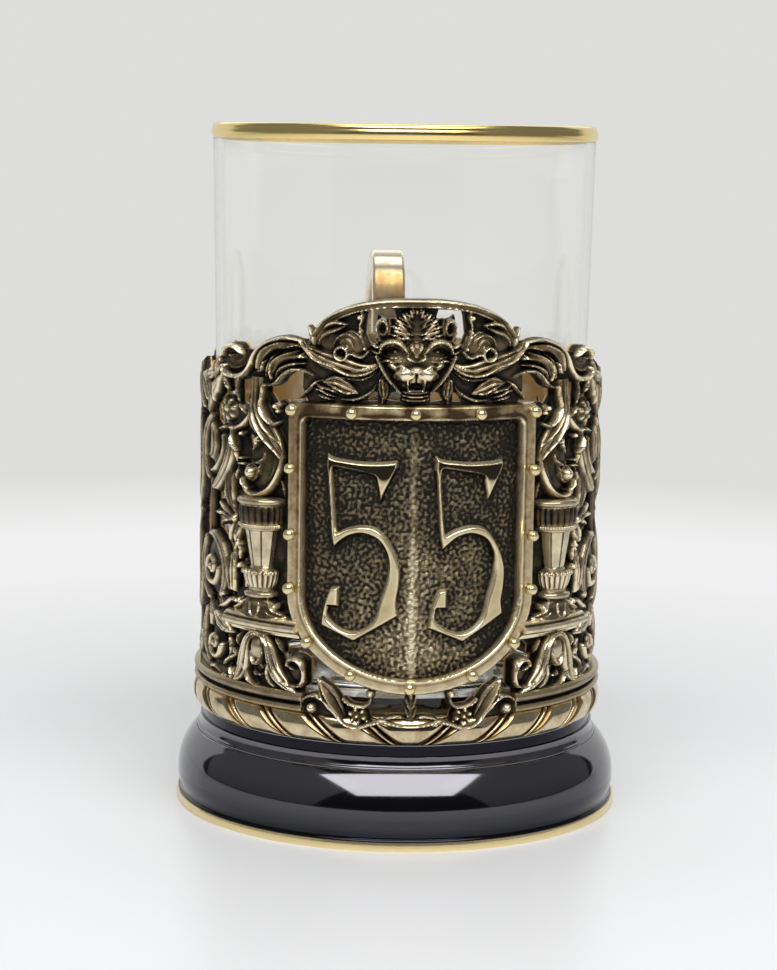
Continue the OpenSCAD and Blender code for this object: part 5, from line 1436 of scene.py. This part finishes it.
def scrollwork(r, s0, s1, z0, z1):
    """Leaf scrolls of a rear casting on both sides of its middle, over a plain band."""
    r.stroke([(s0, z0 + 0.6), (s1, z0 + 0.6)], [0.7], [0.9], "flat")
    r.plate([(s0, 64.6), (s1, 64.6), (s1, 80.6), (s0, 80.6)], 0.0)
    m = (s0 + s1) / 2
    w = (s1 - s0) / 2
    for hand in (-1, 1):
        def at(f, z):
            return m + hand * f * w, z

        def leaf(way, widths, heights, form):
            r.stroke([at(f, z) for f, z in way], [1.15 * half for half in widths], heights, form)

        leafy_volute(r, *at(0.56, 45.0), min(6.0, w * 0.3), 90, 1.5, hand, 1.1, 2.0, 6, 3.6)
        leafy_volute(r, *at(0.62, 31.6), min(4.2, w * 0.24), 270, 1.4, -hand, 0.95, 1.8, 5, 3.0)
        leafy_volute(r, *at(0.5, 66.5), min(6.2, w * 0.3), 270, 1.5, -hand, 1.15, 2.1, 7, 3.8)
        draw(r, """
            leafy: 0 38, .2 41, .32 45, .3 49, .4 51.4 | .9 1.1 1 .8 | 1.4 1.7 1.5 1.2
            leafy: 0 28, .2 29, .36 31.4, .4 35 | .8 1.1 .9 .4 | 1.3 1.6 1.4 1.1
            leafy: .02 55, .2 62.4, .26 67, .44 73.2 | 1 1.2 1.1 .7 | 1.5 1.8 1.7 1.2
            leafy: .5 51, .72 53.6, .95 55.8 | .7 1.2 .4 | 1.4 1.8 1
            leafy: .6 52, .8 56.4, .97 59.6 | .5 1 .3 | 1.3 1.7 1
            leafy: .98 36, .84 37.4, .66 37.6, .5 38.8 | .3 1.1 1.1 .5 | 1.3 2 1.9 1.2
            leafy: 0 76.5, .16 80.5, .3 83 | .9 1.3 .2 | 1.6 1.7 1
            leafy: 0 75.5, .26 77.6, .48 80.8 | .8 1.3 .2 | 1.6 1.6 1
            leafy: .3 80, .45 82.4, .7 80.9, .96 81.4 | .6 1 1 .7 | 1.5 1.9 1.9 1.5
        """, stroke=leaf)
        s, z = at(0.9, 76.0)
        petals(r.bump, 8, 0.0, s, z, 1.9, 1.9, 1.35, 0.85, 1.5)
        r.bump(s, z, 1.15, 1.15, 2.3, solid=True)
    middle_stem(r, m, z0)


def middle_stem(r, m, z0):
    """Upright stem with buds in the middle of a casting."""
    r.stroke([(m, z) for z in (z0, 40, 52, 66, 77)], [1.2, 0.8, 1.0, 0.8, 1.2], [1.5, 1.2, 1.6, 1.3, 1.5], "vein")
    r.stroke([(m, 71), (m, 78), (m, 82.0)], [0.8, 1.6, 0.2], [1.4, 1.7, 1.0], "leafy")
    for z in (36.5, 54.5, 72.5):
        r.bump(m, z, 1.5, 1.0, 1.7, solid=True)


def build_side(mirror, side):
    """Side casting: leaf scrolls on both sides of an upright stem."""
    r = Relief(35.8, 81.4, 24.2, 84.2, 0.24)
    m = SIDE_MIDDLE
    r.stroke([(36.2, 26.9), (81.0, 26.9)], [0.7], [0.9], "flat")
    for hand in (-1, 1):
        side_leaves(r, m, hand)
    middle_stem(r, m, 26.3)
    r.inside = np.minimum(r.inside + 0.3, np.minimum(r.S - 36.15, 81.05 - r.S))
    r.smooth_height(1)
    r.height *= 0.62
    return dress(r.mesh("side_scrolls_" + side, mirror, WALL_IN + 0.95, wear_and_shade=0.4, level=(0.0, 1.3)), BRASS,
                 ["side_panel_" + side])


def build_rear(mirror, side):
    """Rear casting, plainer than the sides."""
    r = Relief(80.8, 111.6, 26.0, 84.2, 0.3)
    scrollwork(r, 81.2, 111.2, 26.3, 84.0)
    r.smooth_height(1)
    r.height *= 0.7
    return dress(r.mesh("rear_scrolls_" + side, mirror, WALL_IN + 0.95, wear_and_shade=0.45, level=(-0.5, 1.3)), BRASS,
                 ["rear_panel_" + side])


def build_rope():
    """Collar of plump polished lobes, parted by slanting ribs between deep creases."""
    n, rows = 1536, 26
    lobes, lean, first = 24, 1.15, 0.42
    half_rib, crease, half_lobe = 0.62, 0.72, 1.7
    ground = 36.0
    (_, _, low), (_, _, high) = node_box("rope_collar")
    z0, z1 = low + 0.02, high - 0.02
    middle = (z0 + z1) / 2
    pitch = 2 * math.pi * WALL_UNROLL_R / lobes
    angle = np.linspace(-math.pi, math.pi, n, endpoint=False)
    s = angle * WALL_UNROLL_R
    rings, wear_and_shade = [], []
    for k in range(rows):
        t = k / (rows - 1)
        z = z0 + (z1 - z0) * t
        phase = (np.abs(s) / pitch - (z - middle) * lean / pitch + first) % 1.0
        gap = np.minimum(phase, 1 - phase) * pitch
        round_off = math.sqrt(max(1 - (2 * t - 1) ** 2, 0)) ** 0.85
        rib = np.sqrt(np.clip(1 - (gap / half_rib) ** 2, 0, 1))
        lobe = np.sqrt(np.clip(1 - (1 - np.clip((gap - crease) / half_lobe, 0, 1)) ** 2, 0, 1))
        up = np.maximum(rib * 0.84, lobe)
        r = ground + (0.55 + 1.5 * up) * round_off
        rings.append(np.stack([np.sin(angle) * r, -np.cos(angle) * r, np.full(n, z)], 1))
        # Lobes and ribs lighter as painted highlight, creases darker as patina and painted shade.
        wear_and_shade.append(np.clip(0.05 + 0.62 * up ** 1.5 + 0.2 * rib, 0, 1))
    for z in (z1, z0):
        inner = WALL_IN + 0.05
        rings.append(np.stack([np.sin(angle) * inner, -np.cos(angle) * inner, np.full(n, z)], 1))
        wear_and_shade.append(np.full(n, 0.2))
    m = rows + 2
    i = np.arange(n)[:, None]
    k = np.arange(m)[None, :]
    j, l = (i + 1) % n, (k + 1) % m
    faces = np.stack([i * m + k, j * m + k, j * m + l, i * m + l], -1).reshape(-1, 4)
    obj = add_mesh("rope", np.stack(rings, 1).reshape(-1, 3), faces, 75)
    store(obj.data, np.stack(wear_and_shade, 1).ravel())
    return dress(obj, ROPE, ["rope_collar"])


HANDLE_HALF_W = 3.4
HANDLE_EDGE = 0.75               # radius of its edges
PAINTED_DARK_FROM = 82.0                 # above this height its front is painted dark, a painted reflection of the dark room
# Its middle line, from the wall, as shares of its reach and height
HANDLE_SHARES = [(0, 0.5), (0, 0.62), (0, 0.76), (0, 0.9), (0.05, 0.965), (0.18, 1), (0.42, 0.98), (0.8, 0.86),
                 (1, 0.66), (0.98, 0.46), (0.78, 0.3), (0.42, 0.2), (0.14, 0.19), (0.02, 0.16), (0, 0.11), (0, 0.05),
                 (0, 0), (0, -0.05)]


def build_handle():
    """Flat bar handle with rounded edges, bent back at the thumb rest."""
    low, high = node_box("handle")
    half_t = 2.1
    base = 32.3
    tall = high[2] - half_t - base
    reach = high[1] - RELIEF_R - 2 * half_t
    pts = [(RELIEF_R + half_t + a * reach, base + b * tall) for a, b in HANDLE_SHARES]
    line = flowing(pts, 0.6)
    line[:, 0] = np.maximum(line[:, 0], RELIEF_R + half_t + 0.02)
    obj = sweep("handle_bar", line, HANDLE_HALF_W, half_t, HANDLE_EDGE)
    mark_relief(obj, 3, 0.05, 0.62)
    bar = obj.data
    tone = np.zeros(len(bar.vertices))
    bar.attributes["relief"].data.foreach_get("value", tone)
    # Painted light: faces that look up are lighter as a painted highlight, and the front high up is darker as a
    # painted reflection of the dark room.
    normal, height = per_vertex(bar, "normal"), per_vertex(bar, "co")[:, 2]
    front = np.clip(-normal[:, 1] * 1.6 - 0.4, 0, 1) * np.clip((height - PAINTED_DARK_FROM * MM) / 0.004, 0, 1)
    store(bar, tone + 0.3 * np.clip(normal[:, 2], 0, 1) - 0.7 * front)
    return dress(obj, HANDLE, ["handle"])


def carry(names, mat):
    """Gives frame nodes that stay in view their finish."""
    for name in names:
        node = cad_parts[name]
        node.data.materials.clear()
        node.data.materials.append(mat)


# Studio
TABLE = (249, 250, 252)
TABLE_FAR = (240, 240, 240)
BACKDROP = (221, 222, 219)
ROOM = (0.03, 0.03, 0.033, 1)
# Metres from the holder over which the table changes
SHADOW_FADES = (0.09, 0.24)      # from lit table to plain colour, for the camera
BACKDROP_STARTS = (0.31, 0.44)   # from the table's far colour to the backdrop's
MIRROR_PLAIN = (0.2, 0.5)        # behind the holder: the same for mirror images


def add_light(name, place, target, size, power):
    """A rectangular lamp that looks at its target; metres and watts."""
    data = bpy.data.lights.new(name, "AREA")
    data.shape = "RECTANGLE"
    data.size, data.size_y = size
    data.energy = power
    lamp = put(name, data)
    lamp.location = place
    lamp.rotation_euler = (Vector(target) - Vector(place)).to_track_quat("-Z", "Y").to_euler()


def larger(add, a, b):
    """The larger of two values."""
    return add("ShaderNodeMath", 0, a, b, operation="MAXIMUM")


def product(add, a, b):
    """Two values multiplied."""
    return add("ShaderNodeMath", 0, a, b, operation="MULTIPLY")


def seen_rays(add):
    """Outputs of Light Path, and a mask of the rays that the camera sees, also through the glass."""
    rays = add("ShaderNodeLightPath").node.outputs
    return rays, larger(add, rays["Is Camera Ray"], rays["Is Transmission Ray"])


def paper():
    """Pale table that takes the holder's shadow near it and is an even backdrop farther out."""
    mat, add = new_material("pale_paper")
    place = add("ShaderNodeTexCoord", "Object")
    reach = add("ShaderNodeVectorMath", "Value", place, operation="LENGTH")
    glow = add("ShaderNodeEmission", "Emission", Color=add(
        "ShaderNodeMix", 2, span(add, reach, *BACKDROP_STARTS), None, None, None, None, None,
        linear(*TABLE_FAR), linear(*BACKDROP), data_type="RGBA"))
    skin = add("ShaderNodeBsdfPrincipled", "BSDF", Base_Color=linear(*TABLE), Roughness=0.32, Specular_IOR_Level=0.35)
    rays, seen = seen_rays(add)
    depth = span(add, add("ShaderNodeSeparateXYZ", "Y", place), *MIRROR_PLAIN)
    near = span(add, reach, *SHADOW_FADES)
    plain = larger(add, product(add, seen, near), product(add, rays["Is Glossy Ray"], depth))
    add("ShaderNodeOutputMaterial", 0, add("ShaderNodeMixShader", "Shader", plain, skin, glow))
    return mat


def build_studio():
    """Bluish-white table that runs up into a pale grey backdrop, soft lamps and a dim room."""
    far, r = 2.0, 0.9                # metres: where the table bends up, and the radius of the bend
    bend = [(far + r * math.sin(a), r - r * math.cos(a)) for a in np.radians(np.linspace(4, 90, 30))]
    run = [(-4.5, 0.0), (far, 0.0)] + bend + [(far + r, 2.6)]
    verts = [(x / MM, y / MM, z / MM) for y, z in run for x in (-4.0, 4.0)]
    table = add_mesh("table_sweep", verts, [(i, i + 1, i + 3, i + 2) for i in range(0, 2 * len(run) - 2, 2)])
    table.data.materials.append(paper())
    world = bpy.data.worlds.new("room")
    bpy.context.scene.world = world
    world.use_nodes = True
    nodes = world.node_tree.nodes
    nodes.clear()
    add = NodeMaker(world.node_tree)
    dim = add("ShaderNodeBackground", "Background", ROOM)
    pale = add("ShaderNodeBackground", "Background", linear(*BACKDROP))
    add("ShaderNodeOutputWorld", 0, add("ShaderNodeMixShader", "Shader", seen_rays(add)[1], dim, pale))
    add_light("window", (0.02, -0.74, 0.835), (0.01, -0.44, -0.118), (1.17, 0.96), 12.2)
    add_light("left_panel", (-1.3, -0.2, 0.85), (0, 0, 0.05), (2.6, 1.9), 2.6)
    add_light("right_panel", (1.3, -0.2, 0.85), (0, 0, 0.05), (2.6, 1.9), 2.3)
    add_light("top_panel", (0, 0.3, 1.2), (0, 0, 0), (0.9, 0.5), 3.0)
    add_light("rear_panel", (0, 1.2, 0.95), (0, 0, 0.05), (1.6, 1.0), 2.4)
    bpy.context.scene.view_settings.view_transform = "Standard"


build_foot()
build_foot_edge()
build_moulding()
build_rope()
build_glass()
build_gilt_rim()
build_handle()
build_shield()
build_field()
build_rivets()
build_numerals()
build_crest()
build_garland()
for mirror, side in ((-1, "left"), (1, "right")):
    build_acanthus(mirror, side)
    build_stem(mirror, side)
    build_urn(mirror, side)
    build_urn_leaves(mirror, side)
    build_plinth(mirror, side)
    build_console(mirror, side)
    build_side(mirror, side)
    build_rear(mirror, side)
build_urn_beads()
carry(["back_strap"], HIDDEN_BRASS)
carry(["seat_plate"], SEAT)
carry(["centre_bolt", "bolt_washer", "bolt_nut"], STEEL)
carry(["handle_screws"], HIDDEN_BRASS)
build_studio()

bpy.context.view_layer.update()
